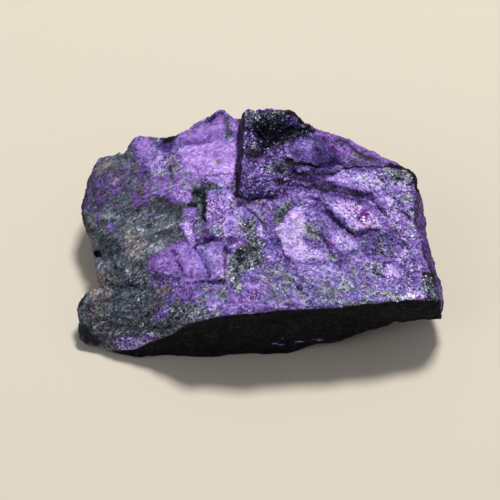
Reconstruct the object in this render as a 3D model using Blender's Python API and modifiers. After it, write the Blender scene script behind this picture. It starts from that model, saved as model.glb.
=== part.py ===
"""Rough purpurite: one broken stone, lying on a small flat of its underside.

The stone is the union of its fracture blocks, each a convex hull of a few corners. Ledges, cracks,
hollows and a rough grain are then worked into its surface, and its resting flat is cut.
Lengths are in millimetres, and become metres where a mesh is made. +X runs along the stone's
length, +Y away from the dark front face, +Z up.
"""
import math

import bmesh
import bpy
import numpy as np
from mathutils import Matrix, Vector, noise

MM = 0.001
STONE_NAME = "purpurite"

# Corners and lines that show are given as they are seen from the front, 50 degrees above the
# horizon: right and up are measured square to that line of sight, and height above the ground.
SIGHT_ELEVATION = math.radians(50.0)
SIGHT = np.array([0.0, -math.cos(SIGHT_ELEVATION), math.sin(SIGHT_ELEVATION)])

VOXEL = 0.40             # side of the even net that the relief is worked into
TRIANGLES = 8600         # what the thinned stone keeps
FLAT_HEIGHT = 0.0        # where the resting flat is cut across the underside
MARGIN = 10.0            # how far the flat's cutter reaches past the stone

# Rough grain: (size of a lump, height of a lump).
COARSE_GRAIN = (5.0, 0.42)
FINE_GRAIN = (1.7, 0.20)

PURPLE = (0.23, 0.12, 0.42, 1.0)
ROUGHNESS = 0.55


def seen(right, up, height):
    """The stone's own (x, y, z) of a corner that is seen at (right, up) and lies at that height."""
    away = (up - height * math.cos(SIGHT_ELEVATION)) / math.sin(SIGHT_ELEVATION)
    return (right, away, height)


# Each fracture block: the corners that show, then the hidden corners as plain (x, y, z).
BLOCKS = {
    "slab": (
        [(-9.6, 4.7, 9.3), (-1.4, 6.0, 11.0), (3.4, 6.7, 11.3), (10.3, 6.6, 11.0), (18.5, 7.4, 10.7),
         (20.9, 24.6, 15.0), (12.3, 26.0, 15.9), (3.0, 25.0, 15.8), (-3.3, 21.0, 14.2),
         (-8.2, -0.4, -0.5), (-1.4, 0.0, -0.5), (4.1, 0.2, -0.5)],
        [(9.5, 2.0, 1.4), (18.0, 3.2, 2.8), (21.0, 8.0, 3.4), (21.4, 19.0, 4.0), (12.0, 24.0, 1.2),
         (9.0, 20.0, -0.5), (-6.0, 22.0, -0.5), (10.0, 9.0, -0.5)],
    ),
    "right end": (
        [(18.5, 7.4, 10.7), (21.9, 7.8, 10.5), (24.1, 8.2, 9.8), (23.0, 10.4, 10.8), (21.8, 14.5, 12.0),
         (21.1, 20.0, 13.7), (21.4, 24.3, 14.3), (20.8, 25.3, 14.7), (19.6, 25.9, 14.9), (18.0, 26.0, 15.0),
         (21.6, 24.0, 13.0), (22.2, 21.4, 9.5), (22.6, 18.6, 8.0),
         (22.9, 15.9, 7.5), (23.8, 12.1, 7.0), (24.9, 9.0, 6.5), (25.2, 7.1, 6.0), (24.9, 5.0, 3.6),
         (19.2, 4.4, 3.0)],
        [(17.0, 16.0, 3.5), (22.4, 12.0, 4.0), (22.0, 18.0, 5.0), (15.0, 8.0, 3.0)],
    ),
    "bench": (
        [(-2.7, 28.2, 17.6), (-3.0, 23.4, 16.4), (-2.7, 21.9, 15.9), (1.4, 22.2, 15.9),
         (3.8, 22.9, 15.6), (5.6, 27.0, 16.9), (3.2, 29.0, 17.6)],
        [(-4.6, 22.0, 10.0), (-4.6, 15.5, 10.0), (5.0, 16.0, 10.0), (6.0, 22.0, 10.0)],
    ),
    "crest left": (
        [(-2.6, 27.6, 17.4), (-2.6, 31.0, 18.9), (-2.3, 33.4, 19.7), (-1.4, 33.9, 20.1),
         (-0.6, 33.2, 20.0), (-0.6, 31.0, 18.9), (-0.4, 28.4, 17.5)],
        [(-4.8, 29.0, 6.0), (-1.0, 29.8, 6.0), (-3.0, 24.0, 0.6), (-4.8, 20.0, 6.0), (0.0, 20.0, 6.0)],
    ),
    "crest back": (
        [(-1.4, 33.9, 20.2), (2.1, 33.9, 20.5), (4.2, 33.6, 20.2), (5.8, 32.5, 19.5), (7.3, 31.2, 18.6),
         (-1.0, 32.6, 19.7), (3.5, 32.9, 20.0), (0.0, 29.2, 16.6), (3.6, 29.2, 16.6), (6.3, 30.4, 18.4)],
        [(-2.0, 29.6, 6.0), (7.0, 28.0, 7.0), (0.0, 24.0, 0.8), (6.0, 24.0, 1.5), (8.0, 22.0, 6.0),
         (-2.0, 22.0, 6.0)],
    ),
    "indigo wedge": (
        [(3.4, 28.2, 18.0), (4.4, 27.0, 17.5), (6.3, 26.5, 17.1), (7.9, 26.1, 16.9), (11.3, 26.7, 16.7),
         (9.2, 28.9, 18.2), (7.9, 30.5, 18.9), (5.0, 29.8, 18.8)],
        [(5.0, 20.0, 12.0), (11.0, 20.5, 12.0), (8.0, 26.0, 12.0)],
    ),
    "wedge step": (
        [(3.4, 27.3, 16.9), (4.8, 25.7, 16.3), (7.2, 25.3, 16.1), (8.6, 25.5, 16.0), (12.2, 26.2, 16.1),
         (12.0, 27.5, 16.6)],
        [(4.0, 21.0, 12.0), (12.0, 20.5, 12.0), (8.0, 25.0, 12.0)],
    ),
    "back ridge": (
        [(7.3, 31.2, 18.6), (9.6, 30.4, 17.7), (11.6, 30.0, 16.8), (13.3, 29.3, 15.7), (16.4, 27.4, 14.7),
         (18.5, 26.4, 14.6), (20.7, 25.3, 14.7), (11.3, 26.7, 16.8), (15.0, 25.9, 15.9)],
        [(7.0, 27.8, 8.0), (14.0, 25.6, 7.5), (20.5, 21.5, 7.0), (8.0, 23.0, 2.0), (14.0, 21.0, 3.0),
         (10.0, 16.0, 6.0)],
    ),
    "lilac shoulder": (
        [(-2.2, 23.1, 14.6), (-2.2, 32.6, 15.2), (-4.4, 33.3, 15.4), (-5.2, 33.7, 15.6), (-6.6, 32.9, 15.1),
         (-8.2, 31.5, 14.5), (-10.1, 31.0, 14.1), (-11.0, 30.3, 13.7), (-12.3, 30.0, 13.2),
         (-12.0, 22.0, 12.4), (-8.0, 23.9, 14.0), (-5.0, 22.9, 14.5)],
        [(-2.0, 30.4, 6.0), (-8.0, 28.8, 5.0), (-13.5, 25.5, 4.0), (-2.0, 24.0, 0.4), (-8.0, 23.0, 0.4),
         (-13.5, 19.0, 0.8), (-14.0, 12.0, 0.5), (-2.0, 12.0, 0.5)],
    ),
    "back": (
        [],
        [(-9.0, 28.3, 6.0), (-9.0, 27.5, 12.0), (-2.5, 30.0, 13.5), (-2.5, 30.2, 6.5), (3.0, 29.4, 7.0),
         (3.0, 27.5, 15.0), (7.0, 28.0, 7.5), (6.5, 26.8, 14.0), (-9.0, 22.0, 0.6), (6.0, 22.0, 0.6),
         (-9.0, 15.0, 10.0), (6.0, 15.0, 12.0)],
    ),
    "knob": (
        [(-17.3, 29.9, 12.0), (-15.3, 30.2, 12.5), (-14.2, 29.7, 12.4), (-13.4, 27.5, 12.5),
         (-15.5, 25.0, 11.6), (-18.0, 26.5, 11.2), (-18.5, 28.4, 11.2)],
        [(-17.0, 26.0, 4.0), (-12.0, 26.5, 4.0), (-13.0, 15.0, 3.0), (-17.0, 15.0, 3.0)],
    ),
    "saddle": (
        [(-14.2, 29.3, 12.0), (-11.6, 29.8, 13.2), (-8.0, 24.0, 13.4), (-7.6, 19.0, 13.0), (-3.5, 19.5, 13.6),
         (-3.5, 15.5, 12.7), (-5.0, 14.0, 12.2), (-12.5, 14.5, 11.2),
         (-17.0, 12.5, 9.3), (-19.6, 15.0, 8.9), (-20.5, 20.0, 10.0), (-19.3, 26.0, 10.6), (-17.8, 27.2, 11.0)],
        [(-18.0, 24.0, 2.0), (-12.0, 26.0, 2.0), (-4.0, 22.0, 2.0), (-4.0, 6.0, 2.0), (-17.0, 4.0, 2.0)],
    ),
    "upper left lobe": (
        [(-24.3, 20.0, 7.0), (-24.1, 21.8, 7.5), (-23.6, 24.1, 8.0), (-23.1, 25.8, 8.4), (-22.3, 26.6, 8.7),
         (-21.2, 27.4, 9.3), (-19.6, 27.2, 9.8), (-21.7, 24.5, 10.2), (-20.5, 20.0, 10.1),
         (-19.0, 25.5, 10.6), (-16.0, 20.0, 10.9), (-15.0, 15.0, 10.0), (-20.3, 15.3, 8.6), (-23.2, 17.2, 7.0)],
        [(-23.3, 20.0, 2.5), (-22.6, 15.0, 2.0), (-21.0, 25.5, 3.5), (-15.0, 25.0, 1.5), (-14.0, 12.0, 1.0)],
    ),
    "lower left lobe": (
        [(-25.0, 4.2, 2.8), (-25.1, 5.9, 3.6), (-24.8, 7.3, 4.4), (-24.1, 8.2, 4.8), (-23.3, 9.2, 5.0),
         (-21.0, 8.5, 6.4), (-19.0, 6.5, 6.2), (-17.5, 8.5, 7.5), (-24.6, 2.6, 1.7), (-23.7, 1.6, 0.8),
         (-21.2, 0.7, 0.4), (-19.5, 0.3, 0.1), (-16.4, -0.3, -0.3), (-15.3, 1.8, 3.2), (-13.0, 2.9, 5.2)],
        [(-22.5, 4.0, 0.6), (-13.0, 1.0, -0.5), (-14.0, 12.0, -0.5), (-21.0, 9.5, 1.0)],
    ),
    "neck": (
        [(-22.5, 11.8, 5.2), (-22.3, 13.4, 5.6), (-23.3, 14.0, 5.7), (-23.4, 15.4, 6.0), (-20.5, 16.0, 8.5),
         (-16.5, 12.0, 9.0), (-17.5, 8.5, 7.5), (-21.0, 9.0, 6.3)],
        [(-21.5, 12.0, 1.5), (-21.8, 9.0, 1.5), (-15.0, 14.0, 0.0), (-15.0, 3.0, -0.5)],
    ),
    "left bench": (
        [(-17.5, 8.5, 7.5), (-16.5, 13.0, 9.2), (-12.5, 14.5, 11.0), (-7.0, 14.0, 12.2), (-2.5, 9.0, 11.8),
         (-2.5, 5.9, 10.8), (-9.6, 4.7, 9.2), (-11.2, 3.8, 7.4), (-13.0, 2.9, 5.4), (-15.3, 1.8, 3.2),
         (-15.0, -0.3, -0.5), (-8.2, -0.4, -0.5), (-2.5, 0.0, -0.5)],
        [(-16.0, 6.0, -0.5), (-3.0, 16.0, -0.5), (-14.0, 14.0, -0.5)],
    ),
    "purple blocks": (
        [(-15.2, 12.9, 10.3), (-12.3, 14.9, 11.5), (-8.6, 15.2, 12.3), (-4.9, 15.3, 13.0),
         (-4.6, 11.0, 12.2), (-7.5, 10.2, 11.5), (-12.8, 11.0, 10.5)],
        [(-13.5, 6.0, 6.0), (-5.0, 5.0, 6.0), (-5.0, 9.0, 6.0), (-13.5, 9.0, 6.0)],
    ),
    "sparkling step": (
        [(-7.4, 22.7, 14.5), (-3.2, 22.6, 14.9), (-3.2, 16.8, 13.9), (-5.0, 15.6, 13.3), (-7.5, 16.8, 13.0)],
        [(-7.0, 11.0, 8.0), (-3.0, 11.0, 8.0), (-3.0, 18.0, 8.0), (-7.0, 18.0, 8.0)],
    ),
    "split wedge": (
        [(-11.2, 18.2, 12.5), (-9.4, 18.5, 12.9), (-8.9, 15.5, 12.7), (-10.3, 16.6, 12.4)],
        [(-11.0, 11.0, 8.0), (-9.0, 12.0, 8.0), (-9.5, 9.0, 8.0)],
    ),
}

# Ledges: (height, reach, line). The ground to the left of the line, as it is followed, rises by
# the height at the line and sinks back over the reach.
LEDGES = {
    "valley rim": (0.75, 2.6, [(16.6, 21.6), (14.8, 22.8), (12.0, 23.5), (9.0, 23.6), (6.6, 23.9), (4.6, 24.6)]),
    "bright arc": (0.80, 3.4, [(6.4, 22.3), (8.8, 20.8), (10.3, 19.0), (11.7, 17.4), (13.1, 16.6),
                               (14.6, 17.5), (16.6, 17.3)]),
    "middle arc": (0.55, 2.4, [(6.6, 17.8), (8.4, 16.4), (9.6, 14.5), (10.4, 12.9), (11.6, 11.8)]),
    "vein edge": (0.50, 2.2, [(4.6, 20.9), (2.9, 18.0), (2.4, 16.0), (3.2, 14.2), (4.0, 12.6)]),
    "front arc": (0.40, 2.0, [(3.4, 11.2), (4.9, 9.8), (6.3, 8.2), (7.0, 7.2)]),
    "right fold": (0.45, 1.8, [(15.6, 21.2), (17.0, 19.8), (17.6, 18.0), (17.4, 16.2)]),
    "corner fold": (0.45, 1.8, [(18.6, 16.2), (20.2, 14.4), (21.4, 12.4)]),
    "shoulder sheet": (0.35, 2.0, [(-11.4, 26.6), (-9.6, 26.4), (-8.2, 25.2), (-6.0, 24.9), (-3.4, 25.2)]),
    "left sheet": (0.40, 2.0, [(-22.8, 18.0), (-19.4, 18.8), (-16.4, 20.2), (-13.2, 21.6), (-10.2, 21.0)]),
    "streak ledge": (0.35, 1.6, [(-19.0, 15.6), (-15.4, 16.0), (-12.6, 17.6)]),
    "lobe ledge": (0.45, 2.0, [(-21.6, 10.4), (-18.8, 9.6), (-16.2, 10.0)]),
}

# Cracks and veins: (depth, width, line).
CRACKS = {
    "first block crack": (0.55, 0.55, [(-12.0, 15.2), (-11.3, 13.0), (-10.2, 10.6)]),
    "second block crack": (0.75, 0.80, [(-8.8, 15.4), (-8.0, 13.3), (-6.8, 10.4)]),
    "third block crack": (0.60, 0.60, [(-4.8, 15.3), (-4.4, 13.4), (-4.5, 10.6)]),
    "lower block crack": (0.50, 0.60, [(-13.2, 11.1), (-10.2, 10.7), (-7.2, 10.1), (-4.8, 10.4)]),
    "step crack": (0.65, 0.60, [(-8.9, 15.3), (-7.2, 15.9), (-4.9, 15.9)]),
    "dark vein": (0.55, 1.60, [(4.0, 21.2), (2.7, 19.4), (1.2, 17.8), (-0.6, 15.6), (-2.2, 13.8), (-3.2, 11.6)]),
    "tan seam": (0.35, 0.50, [(-2.9, 20.8), (-1.2, 19.6), (0.3, 17.8), (0.9, 16.6)]),
    "wedge seam": (0.35, 0.45, [(3.3, 27.1), (5.0, 26.5), (8.0, 25.9), (12.0, 26.3)]),
    "ridge seam": (0.40, 0.60, [(8.6, 30.2), (10.2, 28.2), (11.6, 26.8)]),
    "lobe crack": (0.50, 0.70, [(-20.8, 14.2), (-20.2, 12.4), (-18.8, 11.0)]),
    "shoulder crack": (0.30, 0.45, [(-10.6, 29.3), (-8.4, 29.2), (-6.2, 29.3)]),
    "left gully": (0.60, 1.00, [(-9.0, 23.0), (-8.4, 21.2), (-8.2, 18.8), (-8.8, 17.0)]),
}

# Hollows: (right, up, half width, half height, depth).
HOLLOWS = {
    "crest scoop": (2.6, 30.6, 3.4, 1.9, 1.3),
    "crest nook": (5.4, 31.2, 1.6, 1.0, 0.6),
    "bright pit": (14.1, 18.9, 1.0, 0.8, 0.6),
    "neck pit": (-22.4, 14.0, 0.9, 0.6, 0.9),
    "notch": (-13.3, 28.9, 1.3, 1.1, 0.5),
    "granular dip": (-2.9, 12.6, 1.8, 1.6, 0.4),
    "lobe dip": (-21.0, 7.0, 2.2, 1.6, 0.4),
    "left dip": (-14.0, 20.6, 1.8, 1.2, 0.4),
}


def clear_scene():
    """Removes what the file opened with."""
    for obj in list(bpy.data.objects):
        bpy.data.objects.remove(obj, do_unlink=True)


def collection(name):
    """A new collection in the scene."""
    made = bpy.data.collections.new(name)
    bpy.context.scene.collection.children.link(made)
    return made


def helper(obj):
    """Marks an object as a helper, which the stone doesn't hold."""
    obj.hide_render = True
    obj.display_type = "WIRE"
    return obj


def hull_object(name, corners, into):
    """The convex hull of some corners in millimetres, as an object."""
    work = bmesh.new()
    for corner in corners:
        work.verts.new(Vector(corner) * MM)
    made = bmesh.ops.convex_hull(work, input=work.verts)
    spare = {v for v in made["geom_interior"] + made["geom_unused"] if isinstance(v, bmesh.types.BMVert)}
    bmesh.ops.delete(work, geom=list(spare), context="VERTS")
    bmesh.ops.recalc_face_normals(work, faces=work.faces)
    mesh = bpy.data.meshes.new(name)
    work.to_mesh(mesh)
    work.free()
    obj = bpy.data.objects.new(name, mesh)
    into.objects.link(obj)
    return obj


def join_blocks(parts, helpers):
    """The blocks joined into one closed body by Boolean unions."""
    stone = None
    for name, (shown, hidden) in BLOCKS.items():
        corners = [seen(*corner) for corner in shown] + hidden
        if stone is None:
            stone = hull_object(STONE_NAME, corners, parts)
            continue
        union = stone.modifiers.new(name, "BOOLEAN")
        union.operation = "UNION"
        union.object = helper(hull_object(name, corners, helpers))
    return stone


def bake_modifiers(obj):
    """Replaces the object's mesh by its evaluated mesh, and drops its modifiers."""
    graph = bpy.context.evaluated_depsgraph_get()
    baked = bpy.data.meshes.new_from_object(obj.evaluated_get(graph))
    obj.modifiers.clear()
    old = obj.data
    obj.data = baked
    bpy.data.meshes.remove(old)


def remesh(obj):
    """Covers the body with an even net of small faces."""
    even = obj.modifiers.new("even net", "REMESH")
    even.mode = "VOXEL"
    even.voxel_size = VOXEL * MM
    bake_modifiers(obj)


def smooth_step(value):
    """0 below 0, 1 above 1, and a smooth rise between."""
    held = np.clip(value, 0.0, 1.0)
    return held * held * (3.0 - 2.0 * held)


def along(line, right, up):
    """For each point (right, up): its signed distance to the line, positive on the line's left,
    and a weight that is 1 beside the line and fades to 0 at its two ends."""
    corners = np.array(line)
    lengths = np.linalg.norm(np.diff(corners, axis=0), axis=1)
    starts = np.concatenate([[0.0], np.cumsum(lengths)])
    nearest = np.full(right.shape, np.inf)
    signed = np.zeros(right.shape)
    place = np.zeros(right.shape)
    for first, second, start, length in zip(corners[:-1], corners[1:], starts, lengths):
        way = (second - first) / length
        run = np.clip((right - first[0]) * way[0] + (up - first[1]) * way[1], 0.0, length)
        off_right = right - first[0] - run * way[0]
        off_up = up - first[1] - run * way[1]
        distance = np.hypot(off_right, off_up)
        closer = distance < nearest
        side = np.where(way[0] * off_up - way[1] * off_right >= 0.0, 1.0, -1.0)
        nearest = np.where(closer, distance, nearest)
        signed = np.where(closer, side * distance, signed)
        place = np.where(closer, (start + run) / starts[-1], place)
    return signed, smooth_step(place / 0.15) * smooth_step((1.0 - place) / 0.15)


def relief(right, up):
    """How far the surface stands out at each point (right, up) that shows."""
    rise = np.zeros(right.shape)
    for height, reach, line in LEDGES.values():
        signed, weight = along(line, right, up)
        ramp = smooth_step(signed / 0.5 + 0.5) * np.clip(1.0 - signed / reach, 0.0, 1.0)
        rise += height * weight * ramp
    for depth, width, line in CRACKS.values():
        signed, weight = along(line, right, up)
        rise -= depth * weight * smooth_step(1.0 - np.abs(signed) / width)
    for at_right, at_up, half_width, half_height, depth in HOLLOWS.values():
        away = np.hypot((right - at_right) / half_width, (up - at_up) / half_height)
        rise -= depth * smooth_step(1.3 - away)
    return rise


def grain(points):
    """Rough lumps of two sizes, at points in millimetres."""
    rise = np.zeros(len(points))
    for size, height in (COARSE_GRAIN, FINE_GRAIN):
        rise += height * np.array([noise.noise(Vector(point) / size) for point in points])
    return rise


def work_surface(obj):
    """Moves the net along its normals: the relief where the stone shows, and the grain all over."""
    mesh = obj.data
    count = len(mesh.vertices)
    points = np.empty(count * 3, np.float32)
    mesh.vertices.foreach_get("co", points)
    points = points.reshape(-1, 3).astype(np.float64) / MM
    normals = np.array([normal.vector for normal in mesh.vertex_normals])
    right = points[:, 0]
    up = points[:, 1] * math.sin(SIGHT_ELEVATION) + points[:, 2] * math.cos(SIGHT_ELEVATION)
    facing = smooth_step(normals @ SIGHT / 0.4)
    rise = facing * relief(right, up) + grain(points)
    points += normals * rise[:, None]
    mesh.vertices.foreach_set("co", (points * MM).astype(np.float32).reshape(-1))
    mesh.update()


def thin_out(obj):
    """Takes faces away where the stone is flat, down to the number wanted."""
    obj.data.calc_loop_triangles()
    thin = obj.modifiers.new("thin out", "DECIMATE")
    thin.ratio = TRIANGLES / len(obj.data.loop_triangles)
    thin.use_collapse_triangulate = True
    bake_modifiers(obj)


def box_of(obj):
    """The lowest and highest corner of the object's mesh, in metres."""
    corners = np.array([corner.co for corner in obj.data.vertices])
    return corners.min(axis=0), corners.max(axis=0)


def cut_flat(obj, helpers):
    """Cuts the resting flat across the lowest part of the stone."""
    low, high = box_of(obj)
    size = high - low + 2.0 * MARGIN * MM
    middle = (low + high) / 2.0
    top = FLAT_HEIGHT * MM
    bpy.ops.mesh.primitive_cube_add(size=1.0)
    cutter = helper(bpy.context.active_object)
    cutter.name = "resting_flat_cutter"
    cutter.data.transform(Matrix.Diagonal((*size, 1.0)))
    cutter.location = (middle[0], middle[1], top - size[2] / 2.0)
    for holder in list(cutter.users_collection):
        holder.objects.unlink(cutter)
    helpers.objects.link(cutter)
    flat = obj.modifiers.new("resting flat", "BOOLEAN")
    flat.operation = "DIFFERENCE"
    flat.object = cutter
    bake_modifiers(obj)


def centre(obj, helpers):
    """Moves everything so that the origin is under the middle of the stone, on the resting flat."""
    low, high = box_of(obj)
    shift = Vector((-(low[0] + high[0]) / 2.0, -(low[1] + high[1]) / 2.0, -low[2]))
    obj.data.transform(Matrix.Translation(shift))
    for other in helpers.objects:
        other.location += shift


def purple_stone():
    """The material of the whole stone."""
    made = bpy.data.materials.new("purple_stone")
    made.use_nodes = True
    shader = made.node_tree.nodes["Principled BSDF"]
    shader.inputs["Base Color"].default_value = PURPLE
    shader.inputs["Roughness"].default_value = ROUGHNESS
    shader.inputs["Metallic"].default_value = 0.0
    return made


def main():
    """Builds the stone."""
    clear_scene()
    parts = collection("rough_purpurite")
    helpers = collection("blocks_and_cutter")
    stone = join_blocks(parts, helpers)
    bake_modifiers(stone)
    remesh(stone)
    work_surface(stone)
    thin_out(stone)
    cut_flat(stone, helpers)
    centre(stone, helpers)
    stone.data.materials.clear()
    stone.data.materials.append(purple_stone())


main()
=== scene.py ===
"""The looks of a rough piece of purpurite: its broken surface, its violet and weathered zones, and the
stage it is seen on.

The stone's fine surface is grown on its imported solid. What shows in the photograph is placed by two
measures taken square to the line of sight, "right" and "up", in millimetres.
"""
import logging
import math
from dataclasses import dataclass
from enum import Enum

import bpy
import numpy as np
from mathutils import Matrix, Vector, noise
from mathutils.bvhtree import BVHTree


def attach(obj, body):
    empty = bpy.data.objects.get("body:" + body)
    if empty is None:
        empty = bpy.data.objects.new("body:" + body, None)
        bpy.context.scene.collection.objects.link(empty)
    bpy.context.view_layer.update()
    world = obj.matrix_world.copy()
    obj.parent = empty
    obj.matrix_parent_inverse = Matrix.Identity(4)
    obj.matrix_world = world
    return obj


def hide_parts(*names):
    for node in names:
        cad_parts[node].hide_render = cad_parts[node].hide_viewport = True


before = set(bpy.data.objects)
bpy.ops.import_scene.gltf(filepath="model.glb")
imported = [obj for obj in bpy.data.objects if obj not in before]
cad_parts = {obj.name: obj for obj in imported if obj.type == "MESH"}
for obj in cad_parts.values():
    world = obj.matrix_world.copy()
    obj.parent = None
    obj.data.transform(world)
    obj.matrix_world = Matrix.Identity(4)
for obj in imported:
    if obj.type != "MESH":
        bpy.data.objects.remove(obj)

log = logging.getLogger("purpurite")

Colour = tuple[float, float, float]
Paint = tuple[float, float, float, float]
Triple = tuple[float, float, float]
Stops = tuple[tuple[float, Colour], ...]
Span = tuple[float, float]
Corners = tuple[tuple[float, float], ...]

MM = 0.001
NODE = "purpurite"
EVEN: Triple = (1.0, 1.0, 1.0)
MIDDLE: Triple = (0.5, 0.5, 0.5)
TINY = 1e-9

# Each finer layer of a cloud is this many times finer, and loses its strength by this power of it.
CLOUD_STEP = 2.0
CLOUD_LOSS = 0.75

# How wide a crease is against its cloud, and what parts the tilts of neighbouring crystals.
CREASE_WIDTH = 0.10
TILT_KEY = 7.31

# Degrees about Z that the cleavage is turned, at the stone's left and beyond.
RISING = 28.0
FALLING = -32.0


def smooth_step(value: np.ndarray) -> np.ndarray:
    """0 below 0, 1 above 1, and a smooth rise between."""
    held = np.clip(value, 0.0, 1.0)
    return held * held * (3.0 - 2.0 * held)


def clouds(points: np.ndarray, size: float, octaves: int, stretch: Triple = EVEN,
           turn: float = 0.0) -> np.ndarray:
    """Cloudy noise over the stone, from about -1 to 1.

    Args:
        points: where to read it, in millimetres.
        size: how wide its largest cloud is.
        octaves: how many finer layers it has.
        stretch: how many times longer a cloud is along X, Y and Z.
        turn: degrees that the stretched clouds are turned about Z.

    Returns:
        One number for each point.
    """
    angle = math.radians(turn)
    along = points[:, 0] * math.cos(angle) + points[:, 1] * math.sin(angle)
    across = points[:, 1] * math.cos(angle) - points[:, 0] * math.sin(angle)
    rows = np.stack([along, across, points[:, 2]], axis=1) / (np.array(stretch) * size)
    return np.array([noise.fractal(row, CLOUD_LOSS, CLOUD_STEP, octaves) for row in rows.tolist()])


def creases(points: np.ndarray, size: float) -> np.ndarray:
    """1 in thin wandering grooves, size millimetres apart, and 0 beside them."""
    return smooth_step(1.0 - np.abs(clouds(points, size, octaves=4)) / CREASE_WIDTH)


def crystals(points: np.ndarray, size: float) -> np.ndarray:
    """Small flat faces, each tilted its own way.

    Args:
        points: where to read them, in millimetres.
        size: how wide a face is.

    Returns:
        The height of the face at each point, in millimetres for a slope of about one half.
    """
    heights = []
    for row in (points / size).tolist():
        place = Vector(row)
        centre = noise.voronoi(place)[1][0]
        tilt = noise.cell_vector(centre * TILT_KEY) - Vector(MIDDLE)
        heights.append((place - centre).dot(tilt))
    return np.array(heights) * size


def fading(place: np.ndarray, fade: float, kept: float = 0.0) -> np.ndarray:
    """1 along the middle of a line, falling over the last share of its length at both ends."""
    return smooth_step(place / fade + kept) * smooth_step((1.0 - place) / fade + kept)


class Quality(Enum):
    """What varies over the stone. The last two shape its surface, and the others colour it."""

    # TONE is how light the stone is; some marks lower it as painted shade.
    TONE = "tone"
    WARMTH = "warmth"
    WEATHER = "weather"
    # Near black: crusted stone in places, and painted shade in gaps, hollows, under edges and on the walls.
    CRUST_AND_SHADE = "crust_and_shade"
    TAN = "tan"
    # GLITTER sets grain contrast, crystal tilt and pale flecks; at its strongest the flecks are painted
    # white glints.
    GLITTER = "glitter"
    RISE = "rise"
    ROUGH = "rough"


TONE, WARMTH, WEATHER = Quality.TONE, Quality.WARMTH, Quality.WEATHER
CRUST_AND_SHADE, TAN, GLITTER = Quality.CRUST_AND_SHADE, Quality.TAN, Quality.GLITTER
RISE, ROUGH = Quality.RISE, Quality.ROUGH
COLOURING = (TONE, WARMTH, WEATHER, CRUST_AND_SHADE, TAN, GLITTER)


@dataclass(frozen=True)
class Sight:
    """The line of sight that the stone is measured along.

    Its origin is where right and up are both 0 at ground height, given in the row's frame.
    """

    elevation: float = math.radians(50.0)
    origin_x: float = -0.083
    origin_y: float = -14.548

    def right(self, points: np.ndarray) -> np.ndarray:
        """How far to the right each point (in millimetres) is seen."""
        return points[:, 0] - self.origin_x

    def up(self, points: np.ndarray) -> np.ndarray:
        """How far up each point (in millimetres) is seen."""
        away = points[:, 1] - self.origin_y
        return away * math.sin(self.elevation) + points[:, 2] * math.cos(self.elevation)

    def back(self) -> Vector:
        """The direction from the stone to the eye."""
        return Vector((0.0, -math.cos(self.elevation), math.sin(self.elevation)))

    def shift(self, right: float, up: float) -> np.ndarray:
        """The step in space that is seen as millimetres to the right and up."""
        return np.array([right, up * math.sin(self.elevation), up * math.cos(self.elevation)])

    def point(self, right: float, up: float, height: float) -> Vector:
        """The point, in metres, that is seen at (right, up) and lies so many millimetres high."""
        away = (up - height * math.cos(self.elevation)) / math.sin(self.elevation)
        return Vector((right + self.origin_x, away + self.origin_y, height)) * MM


SIGHT = Sight()


@dataclass(frozen=True)
class Mark:
    """A place on the stone, as corners (right, up), and how far each quality changes there."""

    corners: Corners
    changes: dict[Quality, float]

    def edges(self) -> tuple[np.ndarray, np.ndarray]:
        """The first ends and the second ends of the lines between the corners."""
        corners = np.array(self.corners)
        return corners[:-1], corners[1:]

    def nearest(self, right: np.ndarray, up: np.ndarray) -> tuple[np.ndarray, np.ndarray]:
        """How each place lies to the lines between the corners.

        Args:
            right: the places' millimetres to the right.
            up: their millimetres up.

        Returns:
            The distance, positive on the lines' left, and how far along them the nearest point is,
            from 0 to 1.
        """
        firsts, seconds = self.edges()
        lengths = np.linalg.norm(seconds - firsts, axis=1)
        starts = np.concatenate([[0.0], np.cumsum(lengths)])
        least = np.full(right.shape, np.inf)
        signed = np.zeros(right.shape)
        place = np.zeros(right.shape)
        for first, second, start, length in zip(firsts, seconds, starts, lengths):
            way = (second - first) / length
            run = np.clip((right - first[0]) * way[0] + (up - first[1]) * way[1], 0.0, length)
            off_right = right - first[0] - run * way[0]
            off_up = up - first[1] - run * way[1]
            distance = np.hypot(off_right, off_up)
            closer = distance < least
            side = np.where(way[0] * off_up - way[1] * off_right >= 0.0, 1.0, -1.0)
            least = np.where(closer, distance, least)
            signed = np.where(closer, side * distance, signed)
            place = np.where(closer, (start + run) / starts[-1], place)
        return signed, place

    def weigh(self, right: np.ndarray, up: np.ndarray) -> np.ndarray:
        """How far the mark holds at each place, from 0 to 1."""
        raise NotImplementedError


@dataclass(frozen=True)
class Sheet(Mark):
    """A patch inside its corners, with a soft edge."""

    soft: float = 0.5

    def edges(self) -> tuple[np.ndarray, np.ndarray]:
        """The ends of the lines round the patch."""
        corners = np.array(self.corners)
        return corners, np.roll(corners, -1, axis=0)

    def weigh(self, right: np.ndarray, up: np.ndarray) -> np.ndarray:
        """1 inside the patch, fading out over its soft edge.

        Args:
            right: the places' millimetres to the right.
            up: their millimetres up.

        Returns:
            The share at each place, from 0 to 1.
        """
        inside = np.zeros(right.shape, bool)
        for first, second in zip(*self.edges()):
            spans = (first[1] > up) != (second[1] > up)
            rise = second[1] - first[1] or TINY
            crossing = first[0] + (up - first[1]) * (second[0] - first[0]) / rise
            inside ^= spans & (right < crossing)
        distance = np.abs(self.nearest(right, up)[0])
        return smooth_step(np.where(inside, distance, -distance) / self.soft + 0.5)


@dataclass(frozen=True)
class Seam(Mark):
    """A crack or a streak along its corners, which fades out at its ends."""

    width: float = 0.3
    fade: float = 0.1
    kept: float = 0.1

    def weigh(self, right: np.ndarray, up: np.ndarray) -> np.ndarray:
        """1 on the line, fading out over the width."""
        signed, place = self.nearest(right, up)
        return fading(place, self.fade, self.kept) * smooth_step(1.0 - np.abs(signed) / self.width)


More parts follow.
